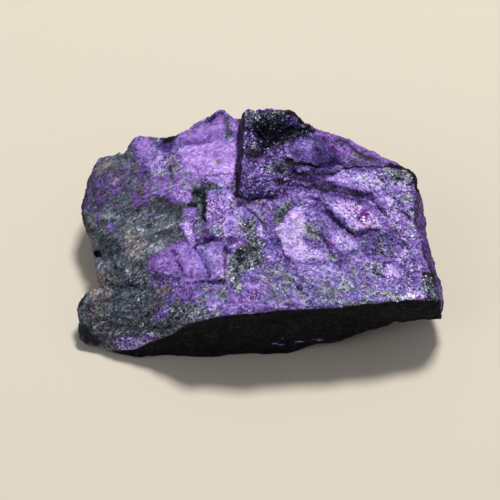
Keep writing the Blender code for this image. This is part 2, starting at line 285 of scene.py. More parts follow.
@dataclass(frozen=True)
class Ledge(Mark):
    """A step along its corners: the ground on its left stands out, and sinks back over its reach."""

    reach: float = 1.4
    fade: float = 0.12
    lip: float = 0.22

    def weigh(self, right: np.ndarray, up: np.ndarray) -> np.ndarray:
        """1 just left of the line, sinking back over the reach.

        Args:
            right: the places' millimetres to the right.
            up: their millimetres up.

        Returns:
            The share at each place, from 0 to 1.
        """
        signed, place = self.nearest(right, up)
        lip = smooth_step(signed / self.lip + 0.5)
        return fading(place, self.fade) * lip * np.clip(1.0 - signed / self.reach, 0.0, 1.0)


@dataclass(frozen=True)
class Nudge:
    """A small shift of the stone's outline about one place, as it is seen."""

    right: float
    up: float
    radius: float
    shift_right: float
    shift_up: float

    def move(self, points: np.ndarray) -> np.ndarray:
        """How far each corner moves. Those on the ground stay where they are.

        Args:
            points: the corners, in millimetres.

        Returns:
            The steps in millimetres.
        """
        apart = np.hypot(SIGHT.right(points) - self.right, SIGHT.up(points) - self.up)
        weight = smooth_step(1.0 - apart / self.radius) * smooth_step(points[:, 2])
        return weight[:, None] * SIGHT.shift(self.shift_right, self.shift_up)


# What each quality is before the marks.
START = {TONE: 0.55, WARMTH: 0.45, WEATHER: 0.34, CRUST_AND_SHADE: 0.0, TAN: 0.0, GLITTER: 0.45, RISE: 0.0, ROUGH: 1.0}

# Where the solid's outline is moved to the photograph's.
NUDGES: tuple[Nudge, ...] = (
    Nudge(-21.0, 27.0, 2.2, 0.0, 0.30),
    Nudge(-18.7, 26.5, 2.6, 0.0, 1.65),
    Nudge(-19.7, 27.6, 1.3, 0.0, -0.5),
    Nudge(-22.2, 26.8, 1.7, -0.2, 0.5),
    Nudge(-17.6, 29.0, 2.0, -0.25, 0.2),
    Nudge(-24.2, 20.0, 4.8, -0.45, 0.0),
    Nudge(-24.3, 2.6, 2.6, -0.50, -0.35),
    Nudge(-3.3, 24.0, 2.2, 0.35, 0.0),
    Nudge(-3.1, 27.0, 2.2, 0.30, 0.0),
    Nudge(-2.9, 30.0, 2.2, 0.30, 0.0),
    Nudge(-16.4, 29.7, 2.2, 0.0, 0.45),
    Nudge(-13.3, 29.3, 2.3, 0.0, 1.0),
    Nudge(-5.2, 33.2, 1.6, 0.0, 0.5),
    Nudge(-2.0, 33.4, 1.7, 0.0, 0.5),
    Nudge(1.0, 33.8, 2.2, 0.0, 0.2),
    Nudge(4.7, 33.0, 2.1, 0.0, 0.5),
    Nudge(7.0, 31.1, 1.8, 0.0, 0.35),
    Nudge(22.1, 22.6, 2.4, -0.40, 0.0),
    Nudge(22.9, 19.6, 2.8, -0.35, 0.0),
    Nudge(23.4, 16.4, 2.6, -0.45, 0.0),
    Nudge(23.9, 13.8, 2.2, -0.30, 0.0),
)

# The line along the top of the front face, which is painted dark as shade.
FRONT_EDGE = ((-26.0, 0.2), (-20.0, 0.7), (-17.0, 0.9), (-15.0, 1.9), (-12.0, 3.0), (-10.0, 4.4),
              (-5.0, 5.5), (0.0, 6.0), (3.0, 6.3), (10.0, 6.6), (16.0, 7.2), (20.0, 7.7), (24.0, 7.6),
              (26.0, 7.6))

# Zones of the slab and the right end.
SLAB: dict[str, Mark] = {
    "lilac sheet": Sheet(
        ((1.6, 17.2), (3.0, 18.2), (3.6, 19.2), (4.6, 20.4), (5.6, 20.2), (6.2, 18.6), (6.1, 17.0),
         (5.8, 16.0), (6.6, 15.0), (8.2, 14.4), (9.0, 13.8), (8.3, 13.2), (6.4, 13.3), (4.4, 13.3),
         (3.4, 13.9), (3.0, 15.0), (2.5, 16.2)), {TONE: 0.34, WARMTH: 0.1, ROUGH: -0.4}, 0.40),
    "violet below it": Sheet(
        ((4.6, 13.0), (6.4, 13.4), (9.0, 13.2), (11.0, 12.6), (11.0, 11.4), (8.4, 10.8), (6.0, 11.4)),
        {TONE: 0.14, WEATHER: -0.06}, 1.4),
    "bright sheet": Sheet(
        ((9.6, 20.8), (11.2, 21.3), (13.2, 20.7), (15.0, 19.8), (16.2, 18.8), (16.4, 17.9), (15.3, 17.5),
         (14.0, 17.3), (13.0, 17.3), (12.0, 18.0), (11.6, 18.9), (10.8, 19.3), (9.9, 20.0)),
        {TONE: 0.31, WEATHER: -0.26, WARMTH: 0.3, GLITTER: 0.70, ROUGH: -0.2}, 0.5),
    "magenta pit": Sheet(
        ((13.5, 19.4), (14.0, 19.9), (14.8, 19.8), (14.9, 19.2), (14.5, 18.8), (13.7, 18.8)),
        {TONE: -0.34, WARMTH: 1.6, WEATHER: -0.5, CRUST_AND_SHADE: -0.5, GLITTER: -1.1}, 0.4),
    # Painted shade on the lower side of the pit's rim.
    "pit's rim in painted shade": Seam(
        ((13.4, 19.2), (13.6, 18.6), (14.2, 18.4), (14.9, 18.9)), {CRUST_AND_SHADE: 0.8, RISE: -0.20}, 0.30),
    # Painted shade: the valley between the ridges is dark indigo, darkened further as shade, with painted
    # shadow along its foot.
    "valley": Sheet(
        ((6.6, 23.2), (8.5, 23.9), (10.2, 23.7), (12.0, 23.0), (13.4, 22.5), (15.2, 22.4), (16.0, 21.6),
         (15.0, 21.1), (13.0, 21.7), (11.0, 22.1), (9.3, 22.4), (7.5, 23.0)),
        {TONE: -0.30, WARMTH: 0.1, WEATHER: -0.8, CRUST_AND_SHADE: -0.25}, 0.6),
    "painted shadow at the valley's foot": Sheet(
        ((11.3, 22.6), (13.0, 22.4), (14.9, 22.2), (14.9, 21.9), (12.8, 21.9), (11.4, 22.2)),
        {TONE: -0.26, CRUST_AND_SHADE: 0.16}, 0.4),
    "lilac band": Sheet(
        ((8.4, 24.0), (10.0, 24.9), (12.0, 25.5), (13.2, 25.3), (14.0, 24.3), (12.4, 23.8), (10.5, 23.8)),
        {TONE: 0.24, WEATHER: -0.2}, 0.5),
    "pale back sheet": Sheet(
        ((13.6, 25.2), (15.3, 25.2), (16.5, 24.2), (17.2, 23.3), (15.2, 22.6), (14.2, 23.0), (13.2, 24.0)),
        {TONE: 0.20, WEATHER: 0.08, GLITTER: -0.1}, 0.7),
    "lilac knob": Sheet(
        ((12.2, 23.2), (13.2, 23.6), (14.2, 23.1), (13.8, 22.6), (12.8, 22.6)), {TONE: 0.24}, 0.6),
    "ridge above the bright sheet": Sheet(
        ((5.2, 22.4), (6.2, 23.0), (7.6, 22.9), (9.0, 22.1), (11.0, 21.8), (10.6, 21.2), (9.0, 21.5),
         (7.6, 21.9), (6.4, 22.0)), {TONE: 0.16, WEATHER: -0.1}, 0.5),
    "violet slope": Sheet(
        ((5.0, 20.4), (6.2, 21.6), (7.8, 21.0), (9.2, 19.8), (9.4, 18.8), (8.0, 18.4), (6.6, 18.8)),
        {TONE: 0.04, WEATHER: -0.08}, 0.9),
    "grey-green mottle": Sheet(
        ((6.2, 18.3), (7.6, 18.2), (8.6, 17.2), (8.2, 16.2), (6.8, 15.6), (6.0, 16.6)),
        {WEATHER: 0.16, TONE: 0.04}, 0.9),
    "lilac wing": Sheet(
        ((9.6, 17.0), (11.0, 17.5), (12.2, 16.6), (13.5, 15.4), (13.3, 14.7), (12.2, 14.3), (11.0, 14.5),
         (10.2, 15.1), (9.5, 16.0)), {TONE: 0.20, WEATHER: -0.06}, 0.5),
    "dark notch": Sheet(
        ((9.0, 15.3), (10.0, 14.6), (10.5, 13.9), (10.8, 12.9), (11.3, 13.1), (11.2, 14.2), (10.2, 15.2),
         (9.4, 15.8)), {TONE: -0.20, WARMTH: 0.2}, 0.5),
    "grey facet": Sheet(
        ((9.0, 14.0), (10.1, 14.0), (10.2, 13.1), (9.2, 13.2)), {WEATHER: 0.4, TONE: 0.10}, 0.3),
    "dark hollow": Sheet(
        ((13.6, 16.8), (15.0, 17.0), (17.2, 17.1), (18.4, 16.2), (18.2, 14.4), (17.0, 13.3), (15.4, 13.6),
         (14.2, 15.0)), {TONE: -0.14, WEATHER: 0.08}, 1.0),
    "blue-grey of the hollow": Sheet(
        ((15.6, 17.0), (17.0, 17.0), (17.0, 15.6), (15.8, 15.4)), {WEATHER: 0.16, WARMTH: -0.3}, 0.6),
    "pale top right": Sheet(
        ((16.2, 21.4), (17.2, 21.9), (18.4, 21.6), (18.4, 20.8), (17.4, 20.7)), {TONE: 0.26}, 0.5),
    "lilac right": Sheet(
        ((16.6, 20.2), (18.2, 20.4), (19.6, 19.0), (19.4, 17.4), (18.0, 17.4), (16.8, 18.4)),
        {TONE: 0.12, WARMTH: 0.2}, 0.9),
    "green by the corner": Sheet(
        ((19.0, 21.9), (20.4, 22.4), (21.0, 21.9), (20.8, 21.0), (19.4, 21.0)),
        {WEATHER: 0.30, TONE: 0.06, GLITTER: 0.2}, 0.7),
    "grey corner": Sheet(
        ((17.0, 25.4), (19.6, 25.6), (21.2, 24.8), (21.2, 24.0), (19.8, 23.9), (18.0, 24.3)),
        {WEATHER: 0.44, TONE: -0.10, GLITTER: 0.6}, 0.7),
    "lilac under it": Sheet(
        ((17.4, 23.9), (19.8, 23.8), (21.0, 23.2), (20.0, 22.6), (18.6, 22.9), (17.4, 23.3)),
        {TONE: 0.16}, 0.6),
    "corner's dark rim": Sheet(
        ((17.6, 26.3), (19.6, 26.2), (21.4, 25.6), (22.0, 24.0), (21.9, 22.4), (21.3, 22.6), (21.1, 24.2),
         (20.6, 25.0), (19.6, 25.5), (18.0, 25.7)), {CRUST_AND_SHADE: 0.85}, 0.4),
    "right end's top edge": Sheet(
        ((21.2, 23.4), (22.0, 23.4), (22.0, 22.0), (21.7, 20.4), (21.7, 18.4), (21.9, 17.2), (21.5, 16.8),
         (21.0, 18.4), (20.9, 20.0), (21.2, 21.6)), {CRUST_AND_SHADE: 0.34, TONE: -0.16, TAN: 0.3}, 0.35),
    # The right end's dull violet, darkened as painted shade on the side that faces away from the light.
    "right end": Sheet(
        ((21.9, 21.8), (23.0, 21.8), (24.2, 17.0), (25.6, 11.0), (24.4, 9.4), (23.7, 10.6), (22.8, 12.8),
         (22.2, 15.0), (21.8, 17.0), (21.7, 18.6), (21.8, 20.4)),
        {CRUST_AND_SHADE: -0.14, TONE: -0.20, WARMTH: 0.3, TAN: 0.14, WEATHER: -0.04, GLITTER: -0.34}, 0.35),
    "right end's dark line": Seam(
        ((22.0, 15.4), (22.5, 13.8), (23.2, 12.2), (23.8, 10.8), (24.0, 9.2)), {CRUST_AND_SHADE: 0.55}, 0.40),
    "right edge's whites": Seam(
        ((20.5, 20.0), (20.6, 18.8), (20.6, 17.6), (20.4, 16.4)), {WEATHER: 0.2, GLITTER: 0.6}, 0.6),
    "violet patch": Sheet(
        ((18.0, 14.4), (19.2, 14.8), (20.2, 13.8), (20.0, 13.0), (18.4, 13.0)), {TONE: 0.18}, 0.6),
    "lilac by the end": Sheet(
        ((17.0, 12.3), (18.4, 12.6), (18.9, 11.3), (17.8, 10.3), (17.0, 10.6)),
        {TONE: 0.26, WARMTH: -0.1, WEATHER: -0.2}, 0.5),
    "dull lilac patch": Sheet(
        ((20.9, 14.8), (21.9, 14.7), (22.5, 13.0), (21.6, 12.6), (20.8, 13.6)),
        {TONE: 0.06, TAN: 0.1}, 0.6),
    "violet by the front edge": Sheet(
        ((19.6, 8.2), (20.2, 8.9), (21.4, 9.0), (22.2, 8.7), (22.2, 7.9), (21.0, 7.8)),
        {TONE: 0.30, WARMTH: 0.5, WEATHER: -0.4, GLITTER: 0.9}, 0.5),
    # Painted glints: solid white spots along the front edge.
    "front edge's painted glints": Seam(
        ((18.2, 7.95), (19.3, 8.05), (20.4, 8.1), (21.3, 8.2)), {GLITTER: 8.0}, 0.50),
    "dark end": Sheet(
        ((22.2, 11.0), (23.4, 11.4), (24.4, 9.0), (24.6, 7.4), (22.6, 7.5), (22.0, 9.2)),
        {TONE: -0.16, WEATHER: 0.24, CRUST_AND_SHADE: 0.24, GLITTER: 1.2}, 0.8),
    "teal-grey foot": Sheet(
        ((6.4, 7.0), (6.8, 8.6), (9.0, 9.8), (12.0, 10.0), (15.0, 9.6), (18.4, 9.2), (18.8, 8.0),
         (12.0, 7.0)), {WEATHER: 0.17, TONE: 0.06, WARMTH: -0.3}, 1.2),
    "greyed middle": Sheet(
        ((11.8, 13.2), (14.6, 13.4), (16.4, 12.6), (16.6, 10.6), (13.6, 10.2), (12.0, 11.6)),
        {WEATHER: 0.14, TONE: 0.06}, 1.0),
    "violet in the foot": Sheet(
        ((11.8, 8.4), (12.6, 9.0), (14.0, 8.6), (13.6, 7.9), (12.2, 7.8)),
        {WEATHER: -0.24, TONE: 0.04, WARMTH: 0.2}, 0.5),
    "magenta patch": Sheet(
        ((-3.0, 7.1), (-3.0, 8.0), (-2.2, 8.7), (-1.4, 9.0), (-0.5, 8.2), (-1.2, 7.1)),
        {WARMTH: 0.8, TONE: 0.04, WEATHER: -0.34, ROUGH: -0.4}, 0.4),
    "lilac over it": Sheet(
        ((-2.0, 9.0), (-1.8, 9.8), (-0.6, 10.2), (0.2, 9.6), (-0.2, 8.9)),
        {WARMTH: 0.4, TONE: 0.16, WEATHER: -0.2}, 0.5),
    "grey-violet foot": Sheet(
        ((0.4, 7.2), (0.2, 12.0), (3.0, 13.0), (6.0, 11.0), (6.2, 7.2)),
        {WEATHER: 0.16, TONE: 0.04, WARMTH: 0.1}, 1.2),
    "lilac by the front": Sheet(
        ((4.2, 7.2), (4.6, 8.2), (5.8, 8.0), (6.3, 7.1)), {TONE: 0.16, WEATHER: -0.1}, 0.5),
    "indigo corner": Sheet(
        ((0.4, 14.6), (0.7, 15.8), (1.4, 16.4), (2.2, 15.9), (2.9, 14.9), (1.6, 14.6)),
        {TONE: -0.14, WARMTH: -0.1, WEATHER: -0.1}, 0.4),
    "lilac tongue": Sheet(
        ((0.9, 13.6), (1.6, 14.2), (2.8, 14.0), (2.9, 13.3), (1.6, 12.9)),
        {TONE: 0.20, WEATHER: -0.1}, 0.4),
    "lilac triangle": Sheet(
        ((-0.8, 16.4), (0.4, 16.3), (0.2, 17.6), (-0.1, 18.4), (-0.4, 17.6)),
        {TONE: 0.36, WEATHER: -0.2}, 0.3),
    "mottled join": Sheet(
        ((-1.2, 21.2), (2.6, 21.4), (2.4, 19.4), (0.8, 19.0), (-0.4, 19.8)),
        {TONE: 0.02, WEATHER: 0.10, WARMTH: 0.2}, 0.6),
    "sparkling right": Sheet(
        ((14.0, 25.0), (21.0, 25.4), (21.6, 20.0), (23.0, 11.0), (22.4, 8.0), (16.0, 7.4), (14.0, 12.0),
         (16.0, 18.0)), {GLITTER: 0.36, TONE: 0.04}, 1.5),
    "black-green vein": Sheet(
        ((-2.6, 18.2), (-1.4, 18.6), (-0.6, 18.4), (-0.9, 17.2), (-0.9, 16.3), (0.4, 16.1), (0.6, 15.4),
         (0.2, 14.6), (0.9, 13.6), (0.2, 12.6), (-1.0, 12.0), (-2.2, 11.5), (-2.6, 10.0), (-2.4, 9.3),
         (-3.4, 8.9), (-3.9, 10.0), (-4.2, 11.2), (-4.0, 13.0), (-3.6, 14.4), (-2.2, 15.3), (-1.8, 16.4),
         (-2.4, 17.2)), {WEATHER: 0.36, TONE: -0.08, CRUST_AND_SHADE: 0.20, GLITTER: 1.1, ROUGH: 0.3}, 0.8),
    "bluish low slab": Sheet(
        ((6.0, 12.0), (9.0, 12.6), (13.0, 11.0), (12.0, 9.0), (7.0, 8.6)),
        {WEATHER: 0.08, TONE: 0.06, WARMTH: -0.2}, 1.4),
    "black specks over the edge": Seam(
        ((11.0, 7.0), (13.0, 7.1), (15.0, 7.3), (17.0, 7.5), (19.0, 7.9)),
        {CRUST_AND_SHADE: 0.30, WEATHER: 0.2, GLITTER: 0.6}, 0.5),
    "vein's dark core": Sheet(
        ((-4.0, 12.6), (-3.6, 14.0), (-2.4, 14.9), (-0.8, 15.4), (0.2, 15.0), (-0.6, 14.2), (-1.6, 13.6),
         (-2.4, 12.4), (-3.2, 11.8)), {TONE: -0.20, CRUST_AND_SHADE: 0.12}, 0.6),
    "vein's teal edge": Seam(
        ((-3.9, 10.2), (-4.2, 11.4), (-3.9, 12.4), (-3.4, 13.6)),
        {TONE: 0.20, CRUST_AND_SHADE: -0.3, WEATHER: 0.1}, 0.45),
    "vein's dark foot": Seam(((-3.4, 12.0), (-2.8, 11.2), (-2.6, 10.6)), {TONE: -0.24, CRUST_AND_SHADE: 0.14}, 0.5),
    "upper vein": Sheet(
        ((1.4, 18.2), (2.0, 19.2), (2.8, 20.6), (4.2, 21.2), (4.4, 20.4), (3.6, 19.2), (2.6, 18.2)),
        {WEATHER: 0.40, TONE: -0.14, CRUST_AND_SHADE: 0.20, GLITTER: 0.1}, 0.6),
    "vein's glints": Seam(
        ((-4.3, 11.0), (-3.9, 12.0), (-3.7, 13.0)), {GLITTER: 1.6, WEATHER: 0.2, TONE: 0.2}, 0.4),
    "lower glints": Seam(
        ((-2.4, 9.9), (-3.2, 9.3), (-3.0, 8.8)), {GLITTER: 1.6, WEATHER: 0.2, TONE: 0.3}, 0.4),
}

# The seams and ledges of the slab.
SLAB_LINES: dict[str, Mark] = {
    # The step under the bright sheet, with painted shade on its face and painted shadow at its end.
    "bright sheet's foot in painted shade": Seam(
        ((6.6, 22.2), (8.4, 21.0), (9.6, 19.9), (10.9, 18.6), (11.6, 17.8)),
        {RISE: 0.26, TONE: -0.16}, 0.60),
    "shade under that foot": Sheet(
        ((7.4, 21.4), (9.4, 19.9), (10.8, 18.2), (11.8, 17.2), (10.6, 17.6), (9.0, 18.8), (7.6, 20.6)),
        {TONE: -0.17, CRUST_AND_SHADE: 0.06, WEATHER: -0.1}, 0.9),
    "painted shadow at the end of that foot": Seam(
        ((10.4, 18.5), (11.4, 17.7), (12.2, 17.0), (13.0, 16.5)), {CRUST_AND_SHADE: 0.5, RISE: 0.06}, 0.42),
    "valley seam": Seam(
        ((9.0, 22.2), (10.6, 21.9), (12.6, 21.5), (14.8, 20.8), (16.6, 20.0)),
        {RISE: -0.06, TONE: -0.20, CRUST_AND_SHADE: 0.26}, 0.26),
    "stripe in the valley": Seam(
        ((8.4, 23.3), (10.2, 23.0), (12.0, 22.5), (13.2, 22.2)),
        {TONE: 0.22, WARMTH: 0.1, CRUST_AND_SHADE: -0.1}, 0.30),
    "stripe below the valley": Seam(
        ((9.6, 22.4), (11.4, 22.1), (13.4, 21.7), (15.6, 21.1)), {TONE: 0.20}, 0.30),
    "wing seam": Seam(
        ((13.0, 16.9), (14.0, 17.4), (14.6, 17.5), (15.2, 17.2), (16.8, 17.3)), {RISE: 0.2}, 0.5),
    "black lens in it": Seam(((14.1, 17.5), (14.8, 17.5), (15.6, 17.1), (16.6, 17.2)), {CRUST_AND_SHADE: 0.6}, 0.26),
    "sheet's edge": Seam(
        ((1.6, 17.2), (2.4, 16.2), (3.0, 15.0), (3.2, 13.9), (4.2, 12.7)),
        {RISE: 0.04, CRUST_AND_SHADE: 0.24, TONE: -0.16}, 0.26),
    "wing's edge": Seam(
        ((8.2, 16.6), (9.1, 15.2), (9.9, 14.3), (10.5, 12.9)), {RISE: 0.05, CRUST_AND_SHADE: 0.24}, 0.26),
    "tan seam": Seam(
        ((-3.6, 21.9), (-1.2, 20.2), (0.3, 18.6), (1.2, 17.0)), {TAN: 0.45, TONE: 0.16, RISE: 0.04}, 0.36),
    "line beside it": Seam(
        ((-1.4, 19.8), (-0.4, 19.0), (0.6, 17.9), (1.0, 17.0)), {CRUST_AND_SHADE: 0.6, RISE: -0.12}, 0.22),
    "black slit": Seam(((18.2, 21.75), (18.5, 21.4)), {CRUST_AND_SHADE: 0.9, RISE: -0.1}, 0.34),
    "white spot": Seam(((17.6, 20.9), (17.9, 20.7)), {GLITTER: 6.0, TONE: 0.3}, 0.24),
    "pit's glint": Seam(((13.95, 18.75), (14.2, 18.85)), {GLITTER: 14.0, CRUST_AND_SHADE: -2.0, RISE: 0.1}, 0.40),
    "corner slit": Seam(((19.9, 23.5), (20.6, 23.6), (21.2, 23.7)), {CRUST_AND_SHADE: 0.6, RISE: -0.06}, 0.34),
    "slanting slit": Seam(((16.4, 24.3), (17.1, 23.4)), {CRUST_AND_SHADE: 0.7, RISE: -0.14}, 0.34),
    "first dark line": Seam(
        ((3.0, 13.6), (3.6, 12.4), (4.6, 12.0), (5.4, 10.8), (6.4, 10.0)),
        {CRUST_AND_SHADE: 0.30, TONE: -0.20}, 0.30),
    "second dark line": Seam(
        ((6.2, 17.6), (7.2, 16.8), (8.4, 16.6), (9.2, 15.6)), {CRUST_AND_SHADE: 0.34, TONE: -0.20}, 0.28),
    "third dark line": Seam(
        ((13.8, 14.6), (15.2, 13.4), (17.0, 12.8), (18.6, 13.0)), {CRUST_AND_SHADE: 0.30, TONE: -0.20}, 0.30),
    "fourth dark line": Seam(
        ((18.8, 12.6), (19.8, 11.8), (20.4, 10.6), (21.0, 9.8)), {CRUST_AND_SHADE: 0.34, TONE: -0.2}, 0.30),
    "fifth dark line": Seam(
        ((17.6, 18.0), (18.6, 17.0), (19.4, 15.6), (20.6, 15.0)), {CRUST_AND_SHADE: 0.34, TONE: -0.2}, 0.30),
    "sixth dark line": Seam(((15.6, 20.9), (16.8, 19.8), (18.0, 18.6)), {CRUST_AND_SHADE: 0.34, TONE: -0.2}, 0.26),
    "edge slit": Seam(((19.1, 19.9), (20.0, 19.3), (20.6, 18.8)), {CRUST_AND_SHADE: 0.7, RISE: -0.12}, 0.34),
    "slit over the corner": Seam(
        ((18.6, 24.2), (19.0, 24.4), (19.8, 24.1)), {CRUST_AND_SHADE: 0.8, RISE: -0.14}, 0.34),
    "foot slit": Seam(((5.0, 9.6), (5.4, 9.2), (5.9, 9.0)), {CRUST_AND_SHADE: 0.6, RISE: -0.14}, 0.34),
    "middle slit": Seam(((15.2, 11.6), (16.4, 11.2), (17.2, 10.7)), {CRUST_AND_SHADE: 0.6, RISE: -0.10}, 0.34),
    "end slit": Seam(((21.8, 11.3), (22.8, 11.3), (23.4, 11.1)), {CRUST_AND_SHADE: 0.7, RISE: -0.10}, 0.34),
    "dark spot": Seam(((3.4, 11.5), (3.8, 11.4)), {CRUST_AND_SHADE: 0.6, RISE: -0.1}, 0.30),
    "valley rim": Ledge(((15.4, 22.6), (14.2, 23.2), (12.0, 23.4), (9.6, 23.7)), {RISE: 0.30}, 1.4),
    "bright step": Ledge(
        ((8.2, 21.2), (10.0, 19.4), (11.6, 17.9), (12.8, 16.7), (13.8, 17.3), (15.2, 17.5), (16.8, 17.2)),
        {RISE: 0.16}, 1.6),
    "wing step": Ledge(((8.4, 16.7), (9.3, 15.2), (10.1, 13.8), (10.8, 12.6)), {RISE: 0.16}, 1.2),
    "sheet step": Ledge(
        ((4.2, 12.7), (3.4, 13.6), (3.1, 14.9), (2.4, 16.3), (1.7, 17.3)), {RISE: -0.16}, 1.2),
    "wing's lower step": Ledge(
        ((12.4, 17.0), (13.4, 15.6), (13.6, 14.6), (12.0, 14.0), (10.8, 13.6)), {RISE: -0.24}, 1.2),
    "right fold": Ledge(((15.8, 20.9), (16.8, 19.8), (17.4, 18.4)), {RISE: 0.26}, 1.2),
    "end fold": Ledge(((17.0, 12.6), (18.6, 12.8), (19.6, 11.6), (20.4, 10.4)), {RISE: -0.24}, 1.2),
    "low step": Ledge(((1.0, 10.4), (3.0, 10.8), (5.2, 10.2), (7.0, 9.2), (9.0, 9.6)), {RISE: 0.16}, 1.0),
}

